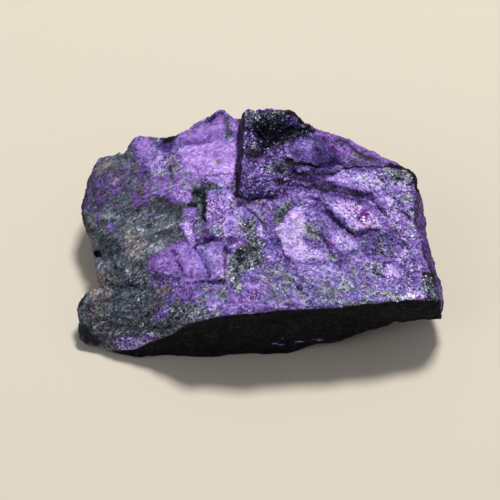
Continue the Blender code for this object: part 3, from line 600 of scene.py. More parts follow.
# Zones and lines of the raised block, its wedge and the ridge behind.
BLOCK: dict[str, Mark] = {
    "dark bench": Sheet(
        ((-3.2, 22.0), (2.8, 21.8), (4.8, 22.6), (5.0, 26.4), (3.4, 27.2), (3.2, 28.6), (-2.4, 28.4),
         (-3.0, 26.0)), {TONE: -0.17, WEATHER: -0.12, CRUST_AND_SHADE: 0.12, ROUGH: 0.4, GLITTER: 0.60}, 0.8),
    "bench's lilac": Sheet(
        ((-2.6, 26.4), (-0.4, 26.4), (0.4, 25.6), (1.5, 25.0), (1.0, 24.3), (-0.4, 24.8), (-2.0, 25.0)),
        {TONE: 0.14, WEATHER: -0.2, CRUST_AND_SHADE: -0.1}, 0.7),
    "bench's green": Sheet(
        ((1.2, 25.0), (2.2, 26.6), (3.4, 26.9), (4.6, 26.0), (4.4, 24.6), (3.0, 25.0), (2.0, 24.8)),
        {WEATHER: 0.30, TONE: -0.15, CRUST_AND_SHADE: 0.14, TAN: -0.4}, 0.7),
    # Painted shade on the block's left-facing wall.
    "block's left wall in painted shade": Sheet(
        ((-3.1, 33.0), (-2.3, 34.2), (-2.0, 33.0), (-2.1, 31.0), (-2.3, 28.0), (-2.5, 25.0), (-2.8, 22.6),
         (-3.0, 21.4), (-3.8, 22.0), (-3.5, 25.0), (-3.2, 28.0), (-3.1, 31.0)),
        {CRUST_AND_SHADE: 0.44, TONE: -0.21, WARMTH: 0.6, WEATHER: -0.1, ROUGH: -0.4}, 0.40),
    "wall's pale foot": Seam(
        ((-3.3, 24.8), (-3.5, 23.4), (-3.5, 22.3)), {TAN: 0.6, TONE: 0.1, CRUST_AND_SHADE: -0.3}, 0.24),
    "bench's dull foot": Sheet(
        ((-3.2, 23.0), (0.4, 23.0), (1.0, 22.4), (0.4, 21.9), (-3.2, 21.9)),
        {TONE: -0.12, WARMTH: -0.3, WEATHER: 0.06}, 0.5),
    "green ring": Seam(
        ((2.6, 26.4), (1.7, 26.3), (1.1, 25.6), (1.3, 25.1)), {WEATHER: 0.5, TONE: 0.1}, 0.3),
    "glint in the ring": Seam(((1.75, 25.5), (1.85, 25.6)), {GLITTER: 4.0}, 0.22),
    "bench's dark hollow": Sheet(((2.2, 24.2), (3.2, 24.4), (3.4, 23.4), (2.4, 23.2)), {CRUST_AND_SHADE: 0.5}, 0.5),
    # Painted shade along the foot of the bench's front edge.
    "painted shade under the bench's edge": Seam(
        ((-3.4, 22.2), (-2.6, 21.6), (-1.6, 21.2), (-0.6, 21.6), (1.0, 21.8), (2.8, 21.7)),
        {CRUST_AND_SHADE: 0.6, RISE: 0.06}, 0.36),
    "bench glints": Seam(((2.2, 22.1), (2.9, 22.7), (3.3, 22.9)), {GLITTER: 1.0, TONE: 0.3}, 0.3),
    "black band": Sheet(
        ((-2.2, 27.6), (-0.6, 28.2), (0.6, 28.0), (0.4, 27.2), (-0.8, 26.7), (-2.0, 26.7)),
        {CRUST_AND_SHADE: 0.26, TONE: -0.12}, 0.8),
    "violet over the bench": Sheet(
        ((0.8, 27.4), (1.6, 28.4), (3.1, 28.7), (3.2, 27.6), (2.4, 27.0)),
        {TONE: -0.04, WARMTH: 0.1, WEATHER: -0.2}, 0.5),
    "streak over the bench": Seam(((0.6, 27.1), (1.6, 27.8), (3.0, 28.4)), {TONE: 0.20, WARMTH: 0.2}, 0.24),
    "second streak there": Seam(((1.4, 26.9), (2.2, 27.3), (3.2, 27.7)), {TONE: 0.18, WARMTH: 0.2}, 0.22),
    # Painted shade over the block's top, over its dark grey-green and violet.
    "block's top in painted shade": Sheet(
        ((-2.2, 27.4), (-2.0, 31.0), (-1.9, 34.2), (5.2, 34.0), (8.0, 31.0), (6.6, 30.0), (4.2, 29.6),
         (3.4, 28.2), (0.6, 28.2), (0.4, 27.2)),
        {CRUST_AND_SHADE: 0.14, TONE: -0.22, WEATHER: 0.08, GLITTER: 0.5, ROUGH: 0.3}, 0.6),
    # Painted shade over the ledges under the wedge.
    "ledges in painted shade": Sheet(
        ((3.4, 27.0), (5.2, 26.2), (8.2, 25.8), (10.4, 25.4), (9.6, 24.4), (10.8, 23.2), (9.0, 22.2),
         (6.6, 22.9), (5.0, 22.9), (4.4, 24.5), (4.2, 26.0)),
        {TONE: -0.20, WEATHER: -0.5, CRUST_AND_SHADE: -0.08}, 0.8),
    # Painted shade in the scoop, which faces away from the light.
    "scoop in painted shade": Sheet(
        ((-1.5, 31.0), (-0.8, 32.0), (0.6, 32.2), (2.0, 32.4), (3.4, 32.0), (4.6, 31.4), (6.4, 31.6),
         (7.2, 30.8), (6.2, 30.4), (4.8, 30.0), (3.7, 29.4), (2.6, 28.8), (1.0, 28.4), (0.1, 28.6),
         (-0.2, 29.6), (-0.6, 30.4)),
        {CRUST_AND_SHADE: 0.14, ROUGH: 0.8, TONE: -0.26, WEATHER: 0.14, GLITTER: 0.9}, 1.2),
    "violet nook": Sheet(
        ((3.8, 32.9), (4.9, 32.8), (5.8, 31.8), (4.8, 31.4), (4.0, 31.8)),
        {CRUST_AND_SHADE: -0.16, TONE: 0.04, WEATHER: -0.3, GLITTER: 0.4}, 0.7),
    "left column": Sheet(
        ((-2.2, 32.0), (-1.4, 31.4), (-0.4, 30.0), (0.1, 29.0), (-0.6, 28.0), (-2.2, 28.0)),
        {TONE: 0.02, GLITTER: 0.5, CRUST_AND_SHADE: 0.06, ROUGH: 0.4}, 0.6),
    "column's lilac": Sheet(
        ((-1.8, 30.2), (-1.2, 30.8), (-0.6, 30.6), (-0.7, 29.9), (-1.4, 29.9)),
        {TONE: 0.30, CRUST_AND_SHADE: -0.3, WEATHER: -0.2}, 0.4),
    "column's glints": Sheet(
        ((-1.3, 28.4), (-1.0, 28.9), (-0.4, 29.2), (-0.1, 28.8), (-0.6, 28.3)),
        {GLITTER: 0.6, WEATHER: 0.3, TONE: 0.34}, 0.4),
    "crest's green": Sheet(
        ((-2.2, 33.4), (-1.4, 33.4), (0.6, 33.4), (4.0, 33.5), (4.2, 32.8), (2.2, 32.4), (0.6, 32.6),
         (-0.6, 31.8), (-1.8, 31.6)),
        {WEATHER: 0.24, TONE: -0.01, TAN: -0.5, CRUST_AND_SHADE: 0.06, GLITTER: 1.1, ROUGH: 0.7}, 0.8),
    "crest's violet rim": Seam(
        ((-1.9, 33.6), (-0.8, 33.7), (0.6, 33.8), (2.2, 33.8)), {WEATHER: -0.3}, 0.20),
    # Painted shade along the crest's right shoulder.
    "crest's shoulder in painted shade": Seam(((3.6, 33.5), (4.8, 33.2), (5.8, 32.2), (7.0, 31.2)), {CRUST_AND_SHADE: 0.75}, 0.5),
    "wedge's left face": Sheet(
        ((3.5, 28.2), (3.9, 29.0), (5.2, 29.7), (6.8, 30.0), (7.4, 30.3), (7.1, 28.0), (7.3, 26.4),
         (6.3, 26.5), (4.4, 27.0)),
        {TONE: -0.05, WARMTH: -0.15, WEATHER: -0.9, CRUST_AND_SHADE: -0.7, ROUGH: -0.95, GLITTER: -0.25}, 0.2),
    # Painted shade: the wedge's right face is painted darker than its left.
    "wedge's right face in painted shade": Sheet(
        ((7.3, 26.4), (7.1, 28.0), (7.4, 30.3), (8.2, 30.4), (9.2, 29.2), (10.6, 27.6), (11.3, 26.7),
         (9.5, 26.3), (8.2, 26.0)),
        {TONE: -0.19, WEATHER: -0.9, CRUST_AND_SHADE: -0.6, ROUGH: -0.95, GLITTER: -0.25}, 0.2),
    # Painted glints along the wedge's left and lower edges.
    "wedge's painted edge glints": Seam(
        ((4.4, 29.3), (3.7, 28.8), (3.7, 27.8), (4.3, 27.1), (5.4, 26.9), (6.4, 26.6), (8.0, 26.1)),
        {GLITTER: 0.4, TONE: 0.30}, 0.22),
    "wedge's top edge": Seam(((4.3, 29.3), (5.2, 29.6), (6.2, 29.8)), {GLITTER: 0.8, TONE: 0.2}, 0.26),
    # Painted shadow under the wedge's overhanging edge.
    "painted shadow under the wedge": Seam(
        ((3.0, 27.3), (3.8, 26.9), (4.8, 26.6), (6.0, 26.3), (7.2, 26.05), (8.4, 25.8)),
        {CRUST_AND_SHADE: 0.75}, 0.32),
    "corner of the painted shadow under the wedge": Sheet(
        ((3.4, 27.0), (4.4, 26.8), (5.6, 26.2), (4.8, 26.0), (4.0, 26.3)), {CRUST_AND_SHADE: 0.3}, 0.4),
    "ledge under the wedge": Sheet(
        ((4.8, 25.8), (5.6, 26.0), (6.6, 25.8), (6.6, 25.3), (5.2, 25.2)),
        {TONE: 0.14, WEATHER: -0.2}, 0.4),
    # Painted shadow along the foot of the ledge under the wedge.
    "painted shadow at the ledge's foot": Seam(
        ((4.6, 25.1), (5.6, 24.9), (7.0, 25.0), (8.2, 24.9), (10.0, 25.0), (11.4, 25.6), (12.6, 25.8)),
        {CRUST_AND_SHADE: 0.6, RISE: 0.02, TONE: -0.1}, 0.34),
    "second ledge": Sheet(
        ((8.2, 25.8), (9.6, 26.1), (11.4, 26.2), (11.0, 25.7), (9.8, 25.2), (8.4, 25.2)),
        {TONE: 0.02, WARMTH: 0.1}, 0.4),
    "seam over it": Seam(
        ((8.2, 25.8), (9.4, 26.2), (10.8, 26.3), (12.2, 26.3)), {CRUST_AND_SHADE: 0.5, RISE: 0.08}, 0.26),
    # Painted shadow along a groove under the lower ledge.
    "painted shadow under the lower ledge": Seam(
        ((5.0, 24.2), (6.4, 24.0), (8.0, 24.2), (9.4, 24.0)), {CRUST_AND_SHADE: 0.22, TONE: -0.30, RISE: -0.1}, 0.34),
    "shade over the ledge": Sheet(
        ((5.0, 25.0), (8.0, 25.0), (10.0, 24.9), (9.0, 24.4), (6.0, 24.2), (4.8, 24.4)),
        {TONE: -0.20, WEATHER: -0.1}, 0.6),
    # Painted shadow along the lowest groove between the ledges.
    "lowest painted shadow line": Seam(
        ((5.0, 23.4), (6.4, 23.1), (7.8, 23.1), (9.0, 22.5), (9.6, 22.7), (10.8, 23.2)),
        {CRUST_AND_SHADE: 0.14, RISE: -0.06, TONE: -0.34}, 0.34),
    "lilac between": Sheet(((5.8, 23.9), (7.0, 23.8), (7.6, 23.4), (6.4, 23.3)), {TONE: 0.16}, 0.4),
    "black join": Seam(
        ((11.6, 25.5), (12.6, 25.9), (14.4, 25.85), (16.4, 25.9), (19.2, 25.9)),
        {CRUST_AND_SHADE: 0.8, RISE: 0.04}, 0.24),
    "ridge": Sheet(
        ((7.6, 31.2), (9.0, 30.6), (12.0, 29.8), (15.0, 28.6), (18.8, 26.6), (18.0, 26.0), (12.4, 26.2),
         (10.6, 27.8), (9.0, 29.6)),
        {WARMTH: 0.45, TONE: -0.05, WEATHER: -0.08, ROUGH: -0.3, GLITTER: -0.15}, 0.5),
    "ridge's pink streak": Seam(
        ((8.9, 30.0), (9.8, 29.0), (10.6, 28.0), (11.6, 26.9)),
        {WARMTH: 0.8, TONE: 0.04, WEATHER: -0.4}, 0.40),
    "ridge seam": Seam(
        ((8.4, 30.3), (9.4, 29.1), (10.4, 28.0), (11.5, 26.8)), {CRUST_AND_SHADE: 0.34, TONE: -0.1}, 0.34),
    "ridge's violet top": Seam(
        ((12.2, 29.4), (13.6, 28.9), (15.4, 28.0), (17.0, 27.2)), {TONE: 0.10, WEATHER: -0.2}, 0.5),
    "ridge's dark streak": Seam(
        ((10.2, 29.9), (11.8, 29.3), (12.6, 28.6), (13.2, 27.8), (14.6, 27.2), (16.8, 26.7)),
        {CRUST_AND_SHADE: 0.48, TONE: -0.14, RISE: -0.08}, 0.50),
    "ridge's grey": Sheet(
        ((12.0, 27.4), (13.2, 28.2), (14.2, 27.6), (16.6, 26.6), (14.0, 26.2), (12.6, 26.4)),
        {WEATHER: 0.20, TAN: 0.26}, 0.6),
}

# Zones and lines of the lilac shoulder, the step and the violet blocks.
SHOULDER: dict[str, Mark] = {
    "lilac shoulder": Sheet(
        ((-11.0, 28.6), (-9.0, 29.1), (-6.0, 29.2), (-5.2, 29.0), (-3.4, 29.6), (-3.1, 27.0), (-3.4, 25.2),
         (-4.4, 24.9), (-8.0, 25.0), (-9.6, 25.4), (-11.0, 26.8)),
        {TONE: 0.28, WARMTH: 0.42, WEATHER: -0.26, ROUGH: -0.5, GLITTER: -0.38}, 0.8),
    "upper shoulder": Sheet(
        ((-11.2, 30.2), (-9.8, 31.0), (-6.6, 32.0), (-5.8, 32.8), (-4.9, 32.8), (-4.6, 31.0), (-5.0, 29.4),
         (-9.0, 29.3), (-11.2, 29.0)),
        {TONE: 0.12, WARMTH: 0.45, WEATHER: -0.30, ROUGH: -0.5, GLITTER: -0.4}, 0.4),
    "shoulder's foot": Sheet(
        ((-8.0, 25.0), (-6.8, 24.0), (-5.6, 23.4), (-4.6, 23.1), (-3.9, 24.0), (-3.6, 25.0)),
        {TONE: 0.26, WARMTH: 0.1, WEATHER: -0.22, ROUGH: -0.3, GLITTER: -0.2}, 0.4),
    "mottled shoulder": Sheet(
        ((-14.8, 22.6), (-15.0, 25.4), (-12.0, 27.6), (-10.4, 26.6), (-8.0, 25.0), (-8.2, 23.2),
         (-9.8, 22.8), (-12.0, 23.0)), {TONE: 0.09, WARMTH: 0.25, WEATHER: 0.10, GLITTER: -0.22}, 0.8),
    "dark cleft": Seam(
        ((-12.6, 26.0), (-12.2, 25.0), (-12.1, 24.1)),
        {CRUST_AND_SHADE: 0.26, WEATHER: 0.3, TONE: -0.34, RISE: -0.2}, 0.5),
    "shoulder crack": Seam(
        ((-10.8, 29.4), (-9.4, 29.2), (-8.2, 29.3), (-6.4, 29.3)),
        {TONE: -0.14, TAN: 0.1, RISE: 0.24}, 0.34),
    "foot crack": Seam(
        ((-7.9, 25.0), (-6.8, 24.8), (-5.6, 25.0), (-4.0, 25.1)),
        {TONE: -0.2, CRUST_AND_SHADE: 0.1, RISE: 0.18}, 0.26),
    "brown pit": Sheet(
        ((-5.9, 26.8), (-5.5, 26.8), (-5.4, 26.3), (-5.9, 26.2)), {TAN: 0.8, TONE: -0.3, RISE: -0.1}, 0.3),
    "magenta scar": Seam(((-6.6, 27.4), (-6.0, 27.7), (-5.8, 28.2)), {TONE: -0.18, WARMTH: 0.6}, 0.3),
    "rim facet": Sheet(
        ((-8.2, 31.7), (-7.0, 32.9), (-5.6, 33.6), (-4.7, 33.7), (-5.0, 33.1), (-5.9, 32.9), (-6.5, 32.2),
         (-7.4, 31.8)), {TONE: -0.34, WARMTH: -0.3, WEATHER: -0.2, CRUST_AND_SHADE: 0.24}, 0.3),
    "rim's grey": Sheet(
        ((-4.9, 33.2), (-4.4, 32.8), (-4.0, 31.4), (-3.8, 30.2), (-4.8, 29.4), (-5.0, 30.6), (-4.6, 31.6)),
        {WEATHER: 0.36, TONE: -0.16}, 0.4),
    "violet by the wall": Sheet(
        ((-4.1, 32.9), (-2.9, 32.9), (-3.0, 30.6), (-3.9, 30.6)),
        {TONE: 0.10, WARMTH: 0.2, WEATHER: -0.2, CRUST_AND_SHADE: -0.2}, 0.3),
    "pale tuft": Seam(((-4.1, 29.9), (-3.8, 29.6)), {WEATHER: 0.4, TONE: 0.4}, 0.4),
    # Grey-green over the step's top, with painted shadow under the shoulder's edge.
    "grey edge and painted shadow under the shoulder": Sheet(
        ((-8.0, 23.9), (-6.7, 23.6), (-5.4, 23.0), (-7.0, 22.6), (-8.2, 22.8)),
        {WEATHER: 0.34, TONE: -0.18, CRUST_AND_SHADE: 0.20}, 0.4),
    "sparkling step": Sheet(
        ((-7.3, 22.5), (-6.0, 22.7), (-4.8, 22.9), (-3.7, 22.2), (-3.4, 21.4), (-2.4, 20.5), (-2.4, 19.0),
         (-2.8, 17.0), (-2.2, 15.6), (-3.6, 14.9), (-4.5, 14.6), (-4.8, 15.6), (-5.4, 16.2), (-7.0, 16.6),
         (-7.3, 18.0), (-7.5, 20.0)), {TONE: 0.14, WARMTH: 0.15, GLITTER: 0.26}, 0.4),
    "filled hollow": Seam(((-4.8, 16.2), (-3.8, 16.3), (-3.0, 16.3)), {RISE: 0.3}, 0.6),
    "step's bright corner": Sheet(
        ((-7.4, 19.0), (-7.2, 21.6), (-5.6, 21.8), (-4.2, 21.4), (-4.2, 19.6)),
        {TONE: 0.04, WEATHER: -0.14, GLITTER: 0.15}, 0.8),
    "step's grey right": Sheet(
        ((-4.0, 20.6), (-3.2, 21.2), (-2.2, 20.2), (-2.2, 18.4), (-3.0, 17.0), (-3.8, 18.6)),
        {WEATHER: 0.12, TONE: 0.06}, 0.6),
    "step's mottled foot": Sheet(
        ((-7.2, 18.0), (-5.4, 18.4), (-4.4, 17.4), (-5.4, 16.4), (-7.0, 16.6)), {WEATHER: 0.16}, 0.5),
    # Painted shade on the step's left-facing wall, over grey-green: the gully and its dark side.
    "gully": Sheet(
        ((-9.3, 23.2), (-7.6, 23.4), (-7.3, 22.4), (-7.4, 20.0), (-7.6, 18.4), (-8.3, 18.6), (-8.8, 20.3),
         (-9.2, 21.6)), {CRUST_AND_SHADE: 0.14, WEATHER: 0.44, TONE: -0.24, ROUGH: -0.2}, 0.4),
    "painted shade on the gully's side": Seam(
        ((-7.6, 22.6), (-7.6, 20.6), (-7.7, 19.0), (-7.4, 18.0)), {CRUST_AND_SHADE: 0.5, RISE: -0.10}, 0.32),
    "black pocket": Sheet(
        ((-10.0, 20.9), (-9.2, 21.3), (-8.6, 20.9), (-8.8, 20.4), (-9.8, 20.4)), {CRUST_AND_SHADE: 0.8}, 0.4),
    "slope beside the gully": Sheet(
        ((-8.9, 18.4), (-7.6, 18.4), (-7.4, 17.2), (-7.8, 16.2), (-8.8, 16.2)),
        {TONE: -0.08, WEATHER: 0.14}, 0.4),
    "split wedge": Sheet(
        ((-11.0, 18.2), (-9.5, 18.5), (-9.2, 18.0), (-9.1, 16.8), (-8.7, 15.6), (-9.0, 15.1), (-9.6, 15.2),
         (-10.1, 16.2), (-10.4, 17.2), (-10.9, 17.8)),
        {TONE: 0.22, WARMTH: 0.10, WEATHER: -0.5, ROUGH: -0.3}, 0.3),
    "split wedge's side": Seam(
        ((-9.1, 18.2), (-9.0, 16.8), (-8.6, 15.4)), {CRUST_AND_SHADE: 0.55, RISE: -0.24}, 0.22),
    "step crack": Seam(
        ((-9.0, 15.1), (-8.3, 15.4), (-7.4, 15.8), (-6.2, 15.8), (-5.0, 15.7)),
        {CRUST_AND_SHADE: 0.30, RISE: 0.10, TONE: -0.25}, 0.44),
    "first block": Sheet(
        ((-15.6, 12.4), (-15.0, 13.3), (-12.6, 15.1), (-11.9, 14.0), (-11.2, 12.9), (-10.5, 11.3),
         (-12.8, 11.3), (-15.0, 11.7)),
        {TONE: 0.05, WARMTH: 0.5, WEATHER: -0.30, ROUGH: -0.55, GLITTER: -0.2}, 0.3),
    "second block": Sheet(
        ((-11.8, 15.2), (-10.4, 15.8), (-9.0, 15.0), (-8.6, 14.2), (-7.9, 13.0), (-7.2, 11.6), (-7.6, 10.4),
         (-9.9, 10.2), (-10.4, 11.0)),
        {TONE: 0.15, WARMTH: 0.2, WEATHER: -0.16, ROUGH: -0.55, GLITTER: -0.2}, 0.3),
    "third block": Sheet(
        ((-8.7, 15.0), (-5.1, 15.1), (-5.0, 13.0), (-4.9, 10.4), (-6.8, 10.3), (-7.3, 11.7), (-8.1, 13.2),
         (-8.6, 14.2)), {TONE: 0.19, WARMTH: 0.05, ROUGH: -0.55, GLITTER: -0.2}, 0.3),
    "first block's corner": Sheet(
        ((-13.4, 14.0), (-12.4, 14.8), (-11.8, 13.6), (-12.4, 12.9)), {TONE: -0.10, WARMTH: 0.3}, 0.3),
    "first block crack": Seam(
        ((-12.1, 15.0), (-11.7, 14.0), (-11.3, 13.0), (-10.7, 11.7), (-10.2, 10.7)),
        {CRUST_AND_SHADE: 0.50, RISE: -0.18}, 0.30),
    "second block crack": Seam(
        ((-8.9, 15.2), (-8.4, 14.2), (-7.9, 13.0), (-7.3, 11.9), (-6.9, 10.5)),
        {CRUST_AND_SHADE: 0.44, RISE: -0.24, TONE: -0.1}, 0.34),
    "third block crack": Seam(
        ((-4.9, 15.0), (-4.6, 14.2), (-4.5, 13.2), (-4.6, 12.0), (-4.7, 10.6)),
        {CRUST_AND_SHADE: 0.24, TAN: 0.3, RISE: -0.26}, 0.28),
    # A raised crack along the blocks' foot, with painted shadow under the blocks and two black spots of it.
    "crack and painted shadow at the blocks' foot": Seam(
        ((-13.4, 11.2), (-12.2, 11.0), (-10.4, 10.6), (-9.9, 10.1), (-8.2, 10.3), (-4.8, 10.4)),
        {RISE: 0.28, TONE: -0.14, WEATHER: 0.1}, 0.46),
    "first painted shadow spot under the blocks": Seam(((-7.2, 10.3), (-6.8, 10.2)), {CRUST_AND_SHADE: 0.8}, 0.26),
    "second painted shadow spot under the blocks": Seam(((-5.8, 10.4), (-5.2, 10.4)), {CRUST_AND_SHADE: 0.8}, 0.26),
    "tan edge": Seam(((-4.3, 14.2), (-4.4, 12.6), (-4.6, 11.0), (-4.3, 9.8)), {TAN: 0.55, TONE: 0.2}, 0.26),
    # Grey-green under the first block, darkened as painted shade.
    "grey and painted shade under the first block": Sheet(
        ((-15.9, 12.0), (-14.8, 11.2), (-13.2, 10.9), (-12.4, 10.3), (-13.0, 9.4), (-15.6, 9.2)),
        {WEATHER: 0.30, TONE: -0.14}, 0.4),
    "grey over the first block": Sheet(
        ((-16.0, 12.9), (-15.2, 13.7), (-13.8, 14.7), (-12.8, 15.5), (-13.2, 16.0), (-15.8, 14.6)),
        {WEATHER: 0.28}, 0.4),
    "ring": Seam(
        ((-15.0, 10.4), (-14.4, 10.8), (-13.4, 10.9), (-12.9, 10.4), (-13.3, 9.9), (-14.3, 9.9),
         (-15.0, 10.3)), {TONE: 0.06, WEATHER: -0.6, WARMTH: 0.2}, 0.42),
    "deep violet foot": Sheet(
        ((-12.0, 10.1), (-10.0, 9.9), (-8.6, 8.2), (-10.4, 7.4), (-11.6, 8.6), (-12.0, 9.4)),
        {TONE: -0.06, WARMTH: 0.2, WEATHER: -0.22}, 0.6),
    "mixed foot": Sheet(
        ((-9.4, 9.9), (-4.2, 10.0), (-4.0, 7.8), (-9.0, 7.4)),
        {TONE: 0.03, WEATHER: 0.13, GLITTER: -0.10}, 0.7),
    "pale foot": Sheet(
        ((-7.0, 7.4), (-4.4, 7.6), (-3.2, 7.0), (-3.4, 5.8), (-7.2, 5.6)), {TONE: 0.14, TAN: 0.06}, 0.6),
    "grey foot": Sheet(
        ((-12.6, 6.8), (-8.0, 7.2), (-7.6, 5.6), (-12.6, 4.4)), {WEATHER: 0.24, GLITTER: 0.3}, 0.6),
    "grey rim": Sheet(
        ((-15.0, 3.2), (-13.0, 4.4), (-11.0, 5.4), (-8.0, 6.4), (-5.0, 6.9), (-5.0, 5.3), (-9.0, 4.6),
         (-11.6, 3.0), (-14.0, 2.0)), {WEATHER: 0.22, TONE: -0.04, GLITTER: 0.2, CRUST_AND_SHADE: 0.06}, 0.6),
    "foot step": Ledge(((-8.4, 7.4), (-9.6, 7.8), (-11.0, 7.6), (-12.0, 8.2)), {RISE: -0.22}, 1.0),
    "left step": Ledge(((-15.6, 13.0), (-15.0, 11.8), (-13.2, 11.3), (-12.4, 11.2)), {RISE: 0.30}, 1.2),
    "wedge step": Ledge(((-11.2, 18.3), (-10.4, 16.6), (-9.4, 15.2)), {RISE: 0.34}, 0.9),
    "shoulder step": Ledge(((-4.8, 22.9), (-6.2, 23.5), (-8.0, 24.0)), {RISE: -0.26}, 1.0),
}

